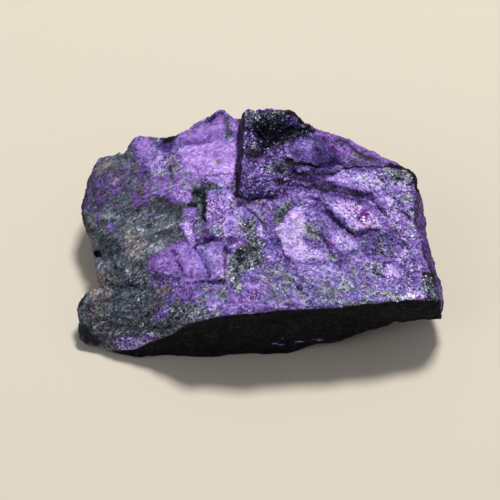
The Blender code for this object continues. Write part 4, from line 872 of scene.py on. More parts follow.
# Zones and lines of the weathered left.
WEATHERED: dict[str, Mark] = {
    "upper left": Sheet(
        ((-24.6, 20.0), (-23.4, 26.0), (-20.6, 28.2), (-17.4, 29.8), (-16.8, 26.4), (-15.0, 25.0),
         (-14.8, 22.0), (-10.0, 20.8), (-10.6, 19.0), (-16.0, 19.8), (-21.0, 19.4)),
        {WEATHER: 0.18, TONE: -0.17, WARMTH: 0.2, TAN: 0.06, GLITTER: -0.28}, 1.0),
    "middle left": Sheet(
        ((-24.0, 12.0), (-24.6, 19.6), (-16.0, 20.2), (-10.0, 20.8), (-10.4, 18.4), (-11.4, 17.8),
         (-10.4, 16.0), (-12.4, 15.2), (-15.2, 13.2), (-15.8, 11.4), (-19.0, 11.4)),
        {WEATHER: 0.40, TONE: -0.10, TAN: 0.02, ROUGH: -0.45, GLITTER: -0.16}, 0.7),
    "lower left": Sheet(
        ((-25.6, 6.0), (-24.6, 8.4), (-23.0, 12.0), (-15.8, 11.6), (-15.0, 9.4), (-12.0, 9.4), (-11.0, 7.4),
         (-8.4, 7.0), (-12.0, 4.0), (-16.0, 2.8), (-20.0, 0.6), (-24.6, 1.0)),
        {WEATHER: 0.38, TONE: -0.15, TAN: 0.08}, 0.8),
    "left rim": Seam(
        ((-23.4, 25.6), (-24.0, 23.6), (-24.6, 20.4), (-24.2, 18.4), (-23.0, 16.4)),
        {CRUST_AND_SHADE: 0.55, TONE: -0.1}, 0.9),
    "top left's tan": Sheet(
        ((-22.8, 25.0), (-21.8, 26.6), (-20.2, 26.9), (-20.3, 26.2), (-21.2, 25.9), (-22.2, 24.6)),
        {TAN: 0.46, TONE: 0.17, WEATHER: 0.24}, 0.6),
    "top left's grey": Sheet(
        ((-22.0, 26.6), (-20.4, 27.6), (-18.0, 28.6), (-17.4, 27.4), (-18.4, 26.4), (-20.0, 26.0)),
        {WEATHER: 0.26, TONE: 0.05}, 0.7),
    "tan streak": Sheet(
        ((-20.5, 23.6), (-19.6, 24.6), (-19.2, 24.2), (-20.2, 23.4)), {TAN: 0.6, TONE: 0.22}, 0.3),
    "violet by the rim": Sheet(
        ((-22.8, 23.0), (-22.7, 23.8), (-21.4, 23.9), (-21.6, 23.2)),
        {WEATHER: -0.5, WARMTH: 0.2, TONE: 0.10}, 0.5),
    "violet spot": Sheet(
        ((-20.5, 22.4), (-20.4, 23.1), (-19.2, 23.1), (-19.2, 22.4)),
        {WEATHER: -0.5, WARMTH: 0.1, TONE: 0.10}, 0.5),
    "first streak": Seam(
        ((-17.0, 20.4), (-16.7, 21.2), (-17.0, 22.2)), {WEATHER: -0.34, TONE: 0.08, WARMTH: 0.3}, 0.45),
    "second streak": Seam(
        ((-16.1, 20.2), (-15.6, 21.4), (-15.5, 23.8)), {WEATHER: -0.34, TONE: 0.12, WARMTH: 0.2}, 0.40),
    "magenta spot": Seam(((-15.3, 19.7), (-14.7, 19.4)), {WEATHER: -0.5, WARMTH: 0.7}, 0.4),
    "violet lump": Sheet(
        ((-17.0, 29.3), (-16.4, 30.0), (-15.0, 30.0), (-14.7, 28.9), (-15.0, 27.5), (-16.4, 27.2),
         (-16.9, 28.2)), {WEATHER: -0.45, TONE: 0.14, WARMTH: 0.25, GLITTER: -0.3, ROUGH: -0.4}, 0.5),
    "lilac streak": Sheet(
        ((-16.0, 26.2), (-14.8, 26.8), (-13.9, 27.8), (-13.1, 27.4), (-14.0, 26.2), (-15.0, 25.7)),
        {WEATHER: -0.30, TONE: 0.30, GLITTER: -0.1}, 0.4),
    "notch facet": Sheet(
        ((-14.2, 29.0), (-13.5, 29.5), (-11.4, 30.0), (-11.5, 29.2), (-12.3, 28.1), (-13.4, 27.9),
         (-14.2, 28.4)), {TONE: -0.30, WARMTH: -0.7, WEATHER: -0.4, ROUGH: -0.8, GLITTER: -0.5}, 0.3),
    "notch's black": Sheet(
        ((-13.8, 29.7), (-12.6, 30.1), (-11.0, 30.3), (-12.2, 29.3), (-13.4, 29.2)), {CRUST_AND_SHADE: 0.8}, 0.3),
    "left of the notch": Seam(
        ((-14.7, 29.9), (-14.3, 29.2), (-14.4, 28.2)), {WEATHER: 0.2, TONE: -0.1}, 0.4),
    "olive patch": Sheet(
        ((-14.9, 20.5), (-14.6, 21.8), (-13.4, 22.0), (-12.9, 21.1), (-14.6, 20.3)),
        {WEATHER: 0.4, TONE: -0.04, ROUGH: -0.4}, 0.5),
    "violet nose": Sheet(
        ((-12.0, 21.6), (-11.9, 22.4), (-10.5, 22.8), (-9.3, 22.3), (-9.4, 21.4), (-10.5, 21.2)),
        {WEATHER: -0.5, TONE: 0.24, WARMTH: 0.3}, 0.4),
    "indigo under the nose": Seam(((-12.2, 21.4), (-11.2, 21.1), (-10.4, 21.0)), {WARMTH: -0.6}, 0.3),
    "dull violet": Sheet(
        ((-10.7, 19.3), (-10.5, 20.2), (-8.8, 20.2), (-8.8, 19.3)),
        {WEATHER: -0.5, TONE: 0.16, WARMTH: 0.3}, 0.4),
    "dark teal": Sheet(
        ((-20.4, 21.4), (-19.0, 22.3), (-17.6, 22.0), (-17.6, 20.8), (-19.4, 20.2)),
        {WEATHER: 0.2, TAN: -0.3}, 0.6),
    "grey-green patch": Sheet(
        ((-21.8, 20.0), (-20.8, 20.3), (-19.0, 19.5), (-19.3, 18.6), (-21.2, 18.5)),
        {WEATHER: 0.3, TONE: 0.20, TAN: -0.3, GLITTER: 0.3}, 0.5),
    "violet grains": Sheet(
        ((-21.0, 18.4), (-20.0, 18.4), (-20.0, 17.2), (-20.8, 17.2)), {WEATHER: -0.6, TONE: 0.20}, 0.5),
    "violet by the edge": Sheet(
        ((-23.0, 19.0), (-22.2, 20.0), (-21.8, 18.2), (-22.8, 17.9)), {WEATHER: -0.4, TONE: 0.04}, 0.6),
    "grey-tan field": Sheet(
        ((-19.0, 17.6), (-16.0, 17.0), (-14.8, 15.4), (-16.0, 13.4), (-17.8, 13.4), (-18.8, 15.4)),
        {TAN: 0.18, TONE: 0.16}, 1.0),
    "teal field": Sheet(
        ((-15.2, 15.2), (-13.0, 15.8), (-12.6, 15.2), (-15.0, 13.8)), {TONE: 0.18, TAN: -0.2}, 0.4),
    "first light streak": Seam(
        ((-14.0, 17.1), (-12.8, 17.7), (-11.8, 18.2)), {TONE: 0.36, GLITTER: 0.8}, 0.22),
    "second light streak": Seam(((-14.9, 16.2), (-13.9, 16.5)), {TONE: 0.40, GLITTER: 0.8}, 0.20),
    "third light streak": Seam(((-14.9, 19.95), (-14.2, 20.05)), {TONE: 0.5, GLITTER: 1.0}, 0.22),
    "fourth light streak": Seam(((-17.2, 17.2), (-15.8, 17.4)), {TONE: 0.24, GLITTER: 0.5}, 0.22),
    "fifth light streak": Seam(((-22.9, 20.1), (-22.2, 20.5)), {TONE: 0.36, GLITTER: 0.5}, 0.22),
    "dark field": Sheet(
        ((-13.2, 17.4), (-11.4, 17.6), (-10.6, 16.2), (-12.0, 15.6), (-13.0, 16.4)),
        {TONE: -0.10, CRUST_AND_SHADE: 0.12}, 0.6),
    "blue-black field": Sheet(
        ((-22.6, 17.0), (-20.4, 16.4), (-18.6, 15.2), (-18.8, 13.4), (-20.8, 13.6), (-22.4, 15.0)),
        {TONE: -0.14, WARMTH: -0.4, TAN: -0.2}, 0.9),
    "neck's pit": Sheet(
        ((-22.9, 14.2), (-22.4, 14.5), (-21.9, 14.3), (-21.8, 13.6), (-22.4, 13.6)),
        {CRUST_AND_SHADE: 1.3, RISE: -0.4}, 0.3),
    "neck's tan": Sheet(
        ((-23.6, 16.2), (-22.4, 16.2), (-22.2, 15.2), (-23.4, 15.0)), {TAN: 0.30, TONE: 0.06}, 0.5),
    "lobe crack": Seam(
        ((-20.9, 14.4), (-20.6, 13.2), (-20.2, 12.2), (-19.6, 11.4)), {CRUST_AND_SHADE: 0.4, RISE: -0.1}, 0.36),
    "tan lobe": Sheet(
        ((-23.2, 9.6), (-22.6, 12.4), (-21.6, 12.0), (-21.2, 10.2), (-20.2, 9.4), (-19.8, 8.3),
         (-20.6, 7.9), (-21.4, 8.6), (-22.8, 7.8), (-23.4, 8.6)), {TAN: 0.34, TONE: 0.16}, 0.7),
    "brown by the crack": Sheet(
        ((-20.6, 11.8), (-19.4, 11.8), (-19.0, 10.4), (-20.2, 10.2)),
        {TAN: 0.16, TONE: -0.04, WARMTH: 0.4}, 0.6),
    "teal spot": Sheet(
        ((-18.4, 11.8), (-17.8, 11.9), (-17.5, 11.1), (-18.2, 11.0)),
        {TONE: 0.36, TAN: -0.5, GLITTER: 0.3}, 0.4),
    "blue-black lower field": Sheet(
        ((-20.0, 8.0), (-17.4, 10.4), (-14.8, 9.4), (-14.2, 7.6), (-16.4, 6.0), (-20.0, 5.4)),
        {TAN: -0.3, TONE: -0.03, WARMTH: -0.3}, 0.9),
    "tan ledge": Sheet(
        ((-14.2, 9.4), (-12.4, 9.7), (-11.8, 9.2), (-12.8, 8.6), (-14.0, 8.7)),
        {TAN: 0.5, TONE: 0.08}, 0.4),
    "brown rind": Sheet(
        ((-24.0, 7.4), (-21.6, 8.0), (-20.8, 6.0), (-22.2, 4.4), (-24.0, 5.0)),
        {TAN: 0.14, TONE: -0.02}, 0.8),
    "dark edge": Seam(((-25.0, 6.6), (-24.4, 7.6), (-23.6, 8.6)), {CRUST_AND_SHADE: 0.5}, 0.6),
    "glossy black": Sheet(
        ((-24.8, 4.5), (-23.5, 4.3), (-22.7, 3.0), (-21.6, 1.8), (-22.2, 1.2), (-24.0, 1.6), (-24.9, 3.0)),
        {CRUST_AND_SHADE: 0.44, TONE: -0.3, TAN: -0.5, ROUGH: -0.5}, 0.8),
    "violet foot": Sheet(
        ((-20.0, 1.3), (-19.8, 2.4), (-17.5, 2.8), (-15.6, 2.5), (-15.0, 2.0), (-16.4, 1.2), (-18.0, 0.8)),
        {WEATHER: -0.6, TONE: 0.20, TAN: -0.4, GLITTER: 0.8, WARMTH: -0.2}, 0.5),
    "violet heel": Sheet(
        ((-14.6, 5.2), (-13.6, 6.6), (-12.8, 7.1), (-12.2, 6.4), (-12.8, 5.2), (-13.6, 4.8)),
        {WEATHER: -0.55, TONE: 0.18, TAN: -0.3}, 0.6),
    "violet haze": Sheet(
        ((-13.6, 8.4), (-12.0, 8.6), (-11.6, 7.4), (-13.2, 7.2)), {WEATHER: -0.3, TONE: 0.04}, 0.7),
    "yellow glint": Seam(((-16.0, 4.1), (-15.9, 4.35)), {GLITTER: 12.0}, 0.30),
    "white glint": Seam(((-15.1, 2.95), (-14.6, 3.1)), {GLITTER: 12.0, CRUST_AND_SHADE: -1.0}, 0.42),
    "green glint": Seam(((-16.7, 7.75), (-16.5, 7.9)), {GLITTER: 9.0}, 0.32),
    "foot's white": Seam(((-22.6, 1.1), (-21.9, 0.6)), {TAN: 1.0, TONE: 0.7}, 0.34),
    "dark over the foot": Seam(((-15.8, 4.6), (-15.0, 3.9), (-13.2, 3.9), (-11.8, 4.4)), {CRUST_AND_SHADE: 0.5}, 0.5),
    "left sheet": Ledge(((-22.8, 17.9), (-20.6, 18.2), (-18.8, 19.0), (-16.6, 19.4)), {RISE: 0.06}, 1.2),
    "upper sheet": Ledge(((-17.4, 20.0), (-16.2, 20.6), (-14.8, 22.0), (-13.0, 22.2)), {RISE: 0.22}, 1.2),
    "first violet dash": Seam(((1.4, 1.65), (3.5, 1.6)), {CRUST_AND_SHADE: -1.5, WARMTH: -0.7, WEATHER: -0.6}, 0.24),
    "second violet dash": Seam(((4.6, 1.9), (6.2, 2.15)), {CRUST_AND_SHADE: -1.5, WARMTH: -0.7, WEATHER: -0.6}, 0.24),
    "third violet dash": Seam(((7.1, 2.15), (8.6, 2.35)), {CRUST_AND_SHADE: -1.5, WARMTH: -0.7, WEATHER: -0.6}, 0.24),
    "lobe step": Ledge(((-15.4, 9.3), (-17.0, 9.8), (-18.4, 9.4), (-20.0, 10.0)), {RISE: -0.26}, 1.2),
    "slanting steps": Ledge(
        ((-17.6, 14.6), (-15.6, 15.6), (-13.4, 17.0), (-11.6, 17.9)), {RISE: 0.24}, 0.9),
    "second slanting step": Ledge(
        ((-19.6, 15.4), (-17.4, 16.6), (-15.0, 18.0), (-12.6, 19.4)), {RISE: 0.22}, 0.9),
}

MARKS = (*SLAB.values(), *SLAB_LINES.values(), *BLOCK.values(), *SHOULDER.values(), *WEATHERED.values())


def marked(quality: Quality, right: np.ndarray, up: np.ndarray) -> np.ndarray:
    """What the marks add to a quality at each place.

    Args:
        quality: the quality.
        right: the places' millimetres to the right.
        up: their millimetres up.

    Returns:
        The sum of the changes.
    """
    total = np.zeros(right.shape)
    for mark in MARKS:
        if quality in mark.changes:
            total += mark.changes[quality] * mark.weigh(right, up)
    return total


@dataclass
class RoughStone:
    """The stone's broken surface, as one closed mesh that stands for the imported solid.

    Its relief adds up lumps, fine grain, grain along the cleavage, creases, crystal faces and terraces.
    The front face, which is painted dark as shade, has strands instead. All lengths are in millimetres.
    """

    voxel: float = 0.15
    settle_rounds: int = 7
    settle_share: float = 0.5
    triangles: int = 196_000
    flat_margin: float = 0.35
    ragged: float = 0.24
    ragged_size: float = 1.1
    ragged_apart: float = 40.0
    eye_distance: float = 200.0
    shown_depth: float = 1.2
    shown_start: float = 1.5
    least_rough: float = 0.12
    most_rough: float = 2.2
    front_calm: float = 0.75
    lump_size: float = 2.4
    lump: float = 0.11
    grain_size: float = 0.6
    grain: float = 0.075
    cleavage_size: float = 1.2
    cleavage_stretch: Triple = (4.5, 1.0, 1.0)
    cleavage_bend: float = -5.0
    cleavage: float = 0.07
    crease_gap: float = 1.9
    crease: float = 0.09
    crystal_size: float = 0.85
    crystal_slope: float = 0.30
    terrace_size: float = 6.0
    terrace_stretch: Triple = (1.3, 1.0, 0.8)
    terraces: float = 7.0
    terrace_slope: float = 0.3
    terrace: float = 0.11
    strand_size: float = 0.9
    strand_stretch: Triple = (7.0, 1.0, 1.0)
    strand: float = 0.10
    front_facing: float = 0.35
    front_upturn: float = 0.70
    front_soft: float = 0.2
    front_edge_soft: float = 0.35
    # Painted shade: how far the front face is darkened, by which way it faces.
    front_painted_shade: float = 1.2
    end_facing: float = 0.5
    end_soft: float = 0.25
    end_right: float = 19.5
    end_reach: float = 0.8
    # How far the right end is darkened as painted shade.
    end_painted_shade: float = 0.15
    haze_size: float = 6.0
    left_from: float = -6.0
    left_reach: float = 10.0
    low: float = 2.5

    def build(self) -> bpy.types.Object:
        """Makes the fine surface.

        Returns:
            The stone, with its qualities as attributes and no material yet.
        """
        stone = self.copy_of_solid()
        self.settle_surface(stone)
        self.work_surface(stone)
        self.thin_out(stone)
        self.keep_qualities(stone)
        return stone

    def copy_of_solid(self) -> bpy.types.Object:
        """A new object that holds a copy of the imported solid's mesh.

        Returns:
            The object.
        """
        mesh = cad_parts[NODE].data.copy()
        mesh.name = "rough_stone"
        stone = bpy.data.objects.new("rough_stone", mesh)
        bpy.context.scene.collection.objects.link(stone)
        return stone

    def bake(self, stone: bpy.types.Object) -> None:
        """Replaces the stone's mesh by its evaluated mesh, and drops its modifiers.

        Args:
            stone: the stone.
        """
        graph = bpy.context.evaluated_depsgraph_get()
        baked = bpy.data.meshes.new_from_object(stone.evaluated_get(graph))
        stone.modifiers.clear()
        old = stone.data
        stone.data = baked
        bpy.data.meshes.remove(old)

    def settle_surface(self, stone: bpy.types.Object) -> None:
        """Covers the stone with an even net, and softens the solid's large triangles.

        Args:
            stone: the stone.
        """
        even = stone.modifiers.new("even net", "REMESH")
        even.mode = "VOXEL"
        even.voxel_size = self.voxel * MM
        soften = stone.modifiers.new("soften", "SMOOTH")
        soften.factor = self.settle_share
        soften.iterations = self.settle_rounds
        self.bake(stone)

    def read(self, stone: bpy.types.Object) -> tuple[np.ndarray, np.ndarray]:
        """Where the net's corners are and which way they face.

        Args:
            stone: the stone.

        Returns:
            The corners in millimetres, and their normals.
        """
        mesh = stone.data
        points = np.empty(len(mesh.vertices) * 3, np.float32)
        mesh.vertices.foreach_get("co", points)
        normals = np.empty(len(mesh.vertices) * 3, np.float32)
        mesh.vertex_normals.foreach_get("vector", normals)
        return points.reshape(-1, 3).astype(np.float64) / MM, normals.reshape(-1, 3).astype(np.float64)

    def seen_at(self, points: np.ndarray) -> tuple[np.ndarray, np.ndarray]:
        """Where each corner is seen, shifted a little by noise so that no mark has a clean outline.

        Args:
            points: the corners, in millimetres.

        Returns:
            Their millimetres to the right and up.
        """
        shift_right = self.ragged * clouds(points, self.ragged_size, 3)
        shift_up = self.ragged * clouds(points + self.ragged_apart, self.ragged_size, 3)
        return SIGHT.right(points) + shift_right, SIGHT.up(points) + shift_up

    def shown(self, stone: bpy.types.Object, points: np.ndarray) -> np.ndarray:
        """How near each corner is to what the photograph shows: 0 where it lies deep behind that.

        Args:
            stone: the stone.
            points: its corners, in millimetres.

        Returns:
            The share at each corner, from 0 to 1.
        """
        tree = BVHTree.FromObject(stone, bpy.context.evaluated_depsgraph_get())
        back = SIGHT.back()
        far = self.eye_distance * MM
        depths = []
        for row in (points * MM).tolist():
            start = Vector(row) + back * far
            hit = tree.ray_cast(start, -back)[0]
            depths.append(far if hit is None else (start - hit).length)
        behind = (far - np.array(depths)) / MM
        return smooth_step(self.shown_start - behind / self.shown_depth)

    def front(self, points: np.ndarray, normals: np.ndarray) -> np.ndarray:
        """How far each corner is on the front face, which is painted dark as shade.

        Args:
            points: the corners, in millimetres.
            normals: the corners' normals.

        Returns:
            The share at each corner, from 0 to 1.
        """
        facing = smooth_step((-normals[:, 1] - self.front_facing) / self.front_soft)
        steep = facing * smooth_step((self.front_upturn - normals[:, 2]) / self.front_soft)
        rights, ups = zip(*FRONT_EDGE)
        edge = np.interp(SIGHT.right(points), rights, ups)
        return steep * smooth_step((edge - SIGHT.up(points)) / self.front_edge_soft + 0.5)

    def work_surface(self, stone: bpy.types.Object) -> None:
        """Moves the net along its normals by the relief, and leaves the resting flat as it is.

        Args:
            stone: the stone.
        """
        points, normals = self.read(stone)
        shown = self.shown(stone, points)
        rise = self.relief(points, normals, shown) * smooth_step(points[:, 2] / self.flat_margin)
        points += normals * rise[:, None]
        points += sum(nudge.move(points) for nudge in NUDGES)
        points[:, 2] = np.maximum(points[:, 2], 0.0)
        stone.data.vertices.foreach_set("co", (points * MM).astype(np.float32).reshape(-1))
        stone.data.update()

    def relief(self, points: np.ndarray, normals: np.ndarray, shown: np.ndarray) -> np.ndarray:
        """How far the surface stands out at each corner.

        Args:
            points: the corners, in millimetres.
            normals: the corners' normals.
            shown: how near each corner is to what the photograph shows.

        Returns:
            The rise in millimetres.
        """
        right, up = self.seen_at(points)
        front = self.front(points, normals)
        rough = START[ROUGH] + shown * marked(ROUGH, right, up)
        rough = np.clip(rough, self.least_rough, self.most_rough) * (1.0 - self.front_calm * front)
        grain = self.lump * clouds(points, self.lump_size, 4)
        grain += self.grain * clouds(points, self.grain_size, 3)
        grain += self.cleavage * self.drawn_out(points, right)
        grain -= self.crease * creases(points, self.crease_gap)
        faces = crystals(points, self.crystal_size) * self.crystal_slope
        broken = rough * (grain + faces + self.terrace * self.stepped(points))
        strands = self.strand * clouds(points, self.strand_size, 3, self.strand_stretch)
        return shown * marked(RISE, right, up) + broken + front * strands

    def drawn_out(self, points: np.ndarray, right: np.ndarray) -> np.ndarray:
        """Grain drawn out along the cleavage.

        Args:
            points: the corners, in millimetres.
            right: how far to the right each is seen.

        Returns:
            The grain at each corner, from about -1 to 1.
        """
        rising = clouds(points, self.cleavage_size, 3, self.cleavage_stretch, RISING)
        falling = clouds(points, self.cleavage_size, 3, self.cleavage_stretch, FALLING)
        return np.where(right > self.cleavage_bend, falling, rising)

    def stepped(self, points: np.ndarray) -> np.ndarray:
        """What flat terraces with steep steps between them add to an even slope, in terraces."""
        stair = clouds(points, self.terrace_size, 3, self.terrace_stretch) * self.terraces
        return np.floor(stair) + smooth_step((stair - np.floor(stair)) / self.terrace_slope) - stair

    def thin_out(self, stone: bpy.types.Object) -> None:
        """Takes triangles away where they show least, down to the number wanted.

        Args:
            stone: the stone.
        """
        stone.data.calc_loop_triangles()
        thin = stone.modifiers.new("thin out", "DECIMATE")
        thin.ratio = self.triangles / len(stone.data.loop_triangles)
        thin.use_collapse_triangulate = True
        self.bake(stone)

    def keep_qualities(self, stone: bpy.types.Object) -> None:
        """Works out each colouring quality at each corner, and keeps it as an attribute of the mesh.

        Args:
            stone: the stone.
        """
        points, normals = self.read(stone)
        right, up = self.seen_at(points)
        shown = self.shown(stone, points)
        unseen = self.unseen(points)
        painted_wall_shade = self.painted_wall_shade(points, normals)
        for quality in COLOURING:
            value = START[quality] + shown * marked(quality, right, up)
            value += (1.0 - shown) * unseen[quality]
            # The walls' painted shade is added to the near-black quality.
            if quality is CRUST_AND_SHADE:
                value += painted_wall_shade
            kept = stone.data.attributes.new(quality.value, "FLOAT", "POINT")
            kept.data.foreach_set("value", value.astype(np.float32))

    def unseen(self, points: np.ndarray) -> dict[Quality, np.ndarray | float]:
        """What each quality gains on the sides that the photograph doesn't show.

        Args:
            points: the corners, in millimetres.

        Returns:
            The gain at each corner, or one gain for all.
        """
        haze = clouds(points, self.haze_size, 4)
        left = smooth_step((self.left_from - points[:, 0]) / self.left_reach)
        low = smooth_step((self.low - points[:, 2]) / self.low)
        return {
            TONE: 0.02 + 0.22 * haze - 0.12 * left - 0.08 * low,
            WARMTH: 0.15,
            WEATHER: 0.06 - 0.40 * haze + 0.30 * left + 0.12 * low,
            CRUST_AND_SHADE: 0.10 + 0.40 * np.abs(haze) + 0.10 * low,
            TAN: 0.06 + 0.30 * haze + 0.12 * low,
            GLITTER: 0.0,
        }

    def painted_wall_shade(self, points: np.ndarray, normals: np.ndarray) -> np.ndarray:
        """Painted shade: the front face and the right end darkened towards black by which way they face.

        Args:
            points: the corners, in millimetres.
            normals: the corners' normals.

        Returns:
            The painted shade that the walls add at each corner.
        """
        facing = smooth_step((normals[:, 0] - self.end_facing) / self.end_soft)
        end = facing * smooth_step((points[:, 0] - self.end_right) / self.end_reach)
        return self.front_painted_shade * self.front(points, normals) + self.end_painted_shade * end


class Kind(Enum):
    """What a Mix node blends, and the numbers of its two inputs and its output."""

    NUMBER = ("FLOAT", 2, 3, 0)
    COLOUR = ("RGBA", 6, 7, 2)


@dataclass
class NodeSheet:
    """A material's node tree, with short ways to add to it."""

    material: bpy.types.Material

    def __post_init__(self) -> None:
        """Clears the tree."""
        self.material.use_nodes = True
        self.tree = self.material.node_tree
        self.tree.nodes.clear()

    def add(self, kind: str, settings: dict[str, object] | None = None, **inputs: object) -> bpy.types.Node:
        """A new node.

        Args:
            kind: the node's type, without "ShaderNode".
            settings: properties to set on it.
            **inputs: sockets by name, spaces written as underscores, each a value or another socket.

        Returns:
            The node.
        """
        node = self.tree.nodes.new("ShaderNode" + kind)
        for name, value in (settings or {}).items():
            setattr(node, name, value)
        for name, value in inputs.items():
            self.feed(node.inputs[name.replace("_", " ")], value)
        return node

    def feed(self, socket: bpy.types.NodeSocket, value: object) -> None:
        """Links another socket into this one, or sets its value.

        Args:
            socket: the socket to feed.
            value: another socket or a value.
        """
        if isinstance(value, bpy.types.NodeSocket):
            self.tree.links.new(value, socket)
        else:
            socket.default_value = value

    def work_out(self, node: bpy.types.Node, values: tuple[object, ...]) -> bpy.types.NodeSocket:
        """A node's first output, once its first inputs are fed in order.

        Args:
            node: the node.
            values: values or sockets.

        Returns:
            The result's socket.
        """
        for socket, value in zip(node.inputs, values):
            self.feed(socket, value)
        return node.outputs[0]

    def reckon(self, operation: str, *values: object) -> bpy.types.NodeSocket:
        """The result of a Math node on a few numbers or sockets."""
        return self.work_out(self.add("Math", {"operation": operation}), values)

    def reckon_vectors(self, operation: str, *values: object) -> bpy.types.NodeSocket:
        """The result of a VectorMath node on a few vectors or sockets."""
        return self.work_out(self.add("VectorMath", {"operation": operation}), values)

    def scaled(self, value: bpy.types.NodeSocket, times: float, plus: object) -> bpy.types.NodeSocket:
        """A value times a number, plus a number or another value."""
        return self.reckon("MULTIPLY_ADD", value, times, plus)

    def sum_up(self, start: object, *parts: tuple[bpy.types.NodeSocket, float]) -> bpy.types.NodeSocket:
        """A value with noises added to it.

        Args:
            start: the value.
            *parts: each a noise from 0 to 1 and how strongly it counts, about its middle.

        Returns:
            The result's socket.
        """
        total = start
        for part, strength in parts:
            total = self.scaled(self.reckon("SUBTRACT", part, 0.5), strength, total)
        return total

    def edge(self, value: bpy.types.NodeSocket, low: float, high: float) -> bpy.types.NodeSocket:
        """A smooth rise with a value. Where high is under low, it's a fall instead.

        Args:
            value: the value.
            low: where the rise starts, at 0.
            high: where it ends, at 1.

        Returns:
            The result's socket.
        """
        node = self.add("MapRange", {"interpolation_type": "SMOOTHSTEP"}, From_Min=low, From_Max=high)
        self.feed(node.inputs["Value"], value)
        return node.outputs["Result"]

    def blend(self, share: object, first: object, second: object,
              kind: Kind = Kind.COLOUR) -> bpy.types.NodeSocket:
        """A colour between two colours, or a number between two numbers.

        Args:
            share: how much of the second there is.
            first: a colour, a number or a socket.
            second: the other.
            kind: whether they are colours or numbers.

        Returns:
            The result's socket.
        """
        data_type, first_input, second_input, output = kind.value
        node = self.add("Mix", {"data_type": data_type})
        self.feed(node.inputs[0], share)
        self.feed(node.inputs[first_input], first)
        self.feed(node.inputs[second_input], second)
        return node.outputs[output]

    def ramp(self, value: bpy.types.NodeSocket, stops: Stops) -> bpy.types.NodeSocket:
        """A colour read off a row of stops.

        Args:
            value: where to read it.
            stops: each a place and a colour.

        Returns:
            The colour's socket.
        """
        node = self.add("ValToRGB", Fac=value)
        marks = node.color_ramp.elements
        while len(marks) < len(stops):
            marks.new(0.5)
        for mark, (place, colour) in zip(marks, stops):
            mark.position = place
            mark.color = (*colour, 1.0)
        return node.outputs["Color"]

    def quality(self, quality: Quality) -> bpy.types.NodeSocket:
        """A quality of the stone, read from its mesh."""
        return self.add("Attribute", {"attribute_name": quality.value}).outputs["Fac"]

    def placed(self, place: bpy.types.NodeSocket, shift: Triple = (0.0, 0.0, 0.0), turn: float = 0.0,
               scale: Triple = EVEN) -> bpy.types.NodeSocket:
        """A place that is turned about Z, then scaled and shifted.

        Args:
            place: the place.
            shift: how far it is shifted.
            turn: degrees it is turned about Z.
            scale: how far it is stretched.

        Returns:
            The new place's socket.
        """
        turned = self.add("Mapping", Vector=place, Rotation=(0.0, 0.0, -math.radians(turn)))
        moved = self.add("Mapping", Vector=turned.outputs["Vector"], Location=shift, Scale=scale)
        return moved.outputs["Vector"]

    def noise(self, place: bpy.types.NodeSocket, scale: float, detail: float,
              rough: float) -> bpy.types.NodeSocket:
        """Cloudy noise from 0 to 1, its scale in clouds to the millimetre."""
        return self.add("TexNoise", Vector=place, Scale=scale, Detail=detail, Roughness=rough).outputs["Fac"]

    def cells(self, place: bpy.types.NodeSocket, scale: float) -> bpy.types.Node:
        """Small many-sided cells, each with a Color of its own and the Distance to its middle."""
        return self.add("TexVoronoi", {"feature": "F1"}, Vector=place, Scale=scale)


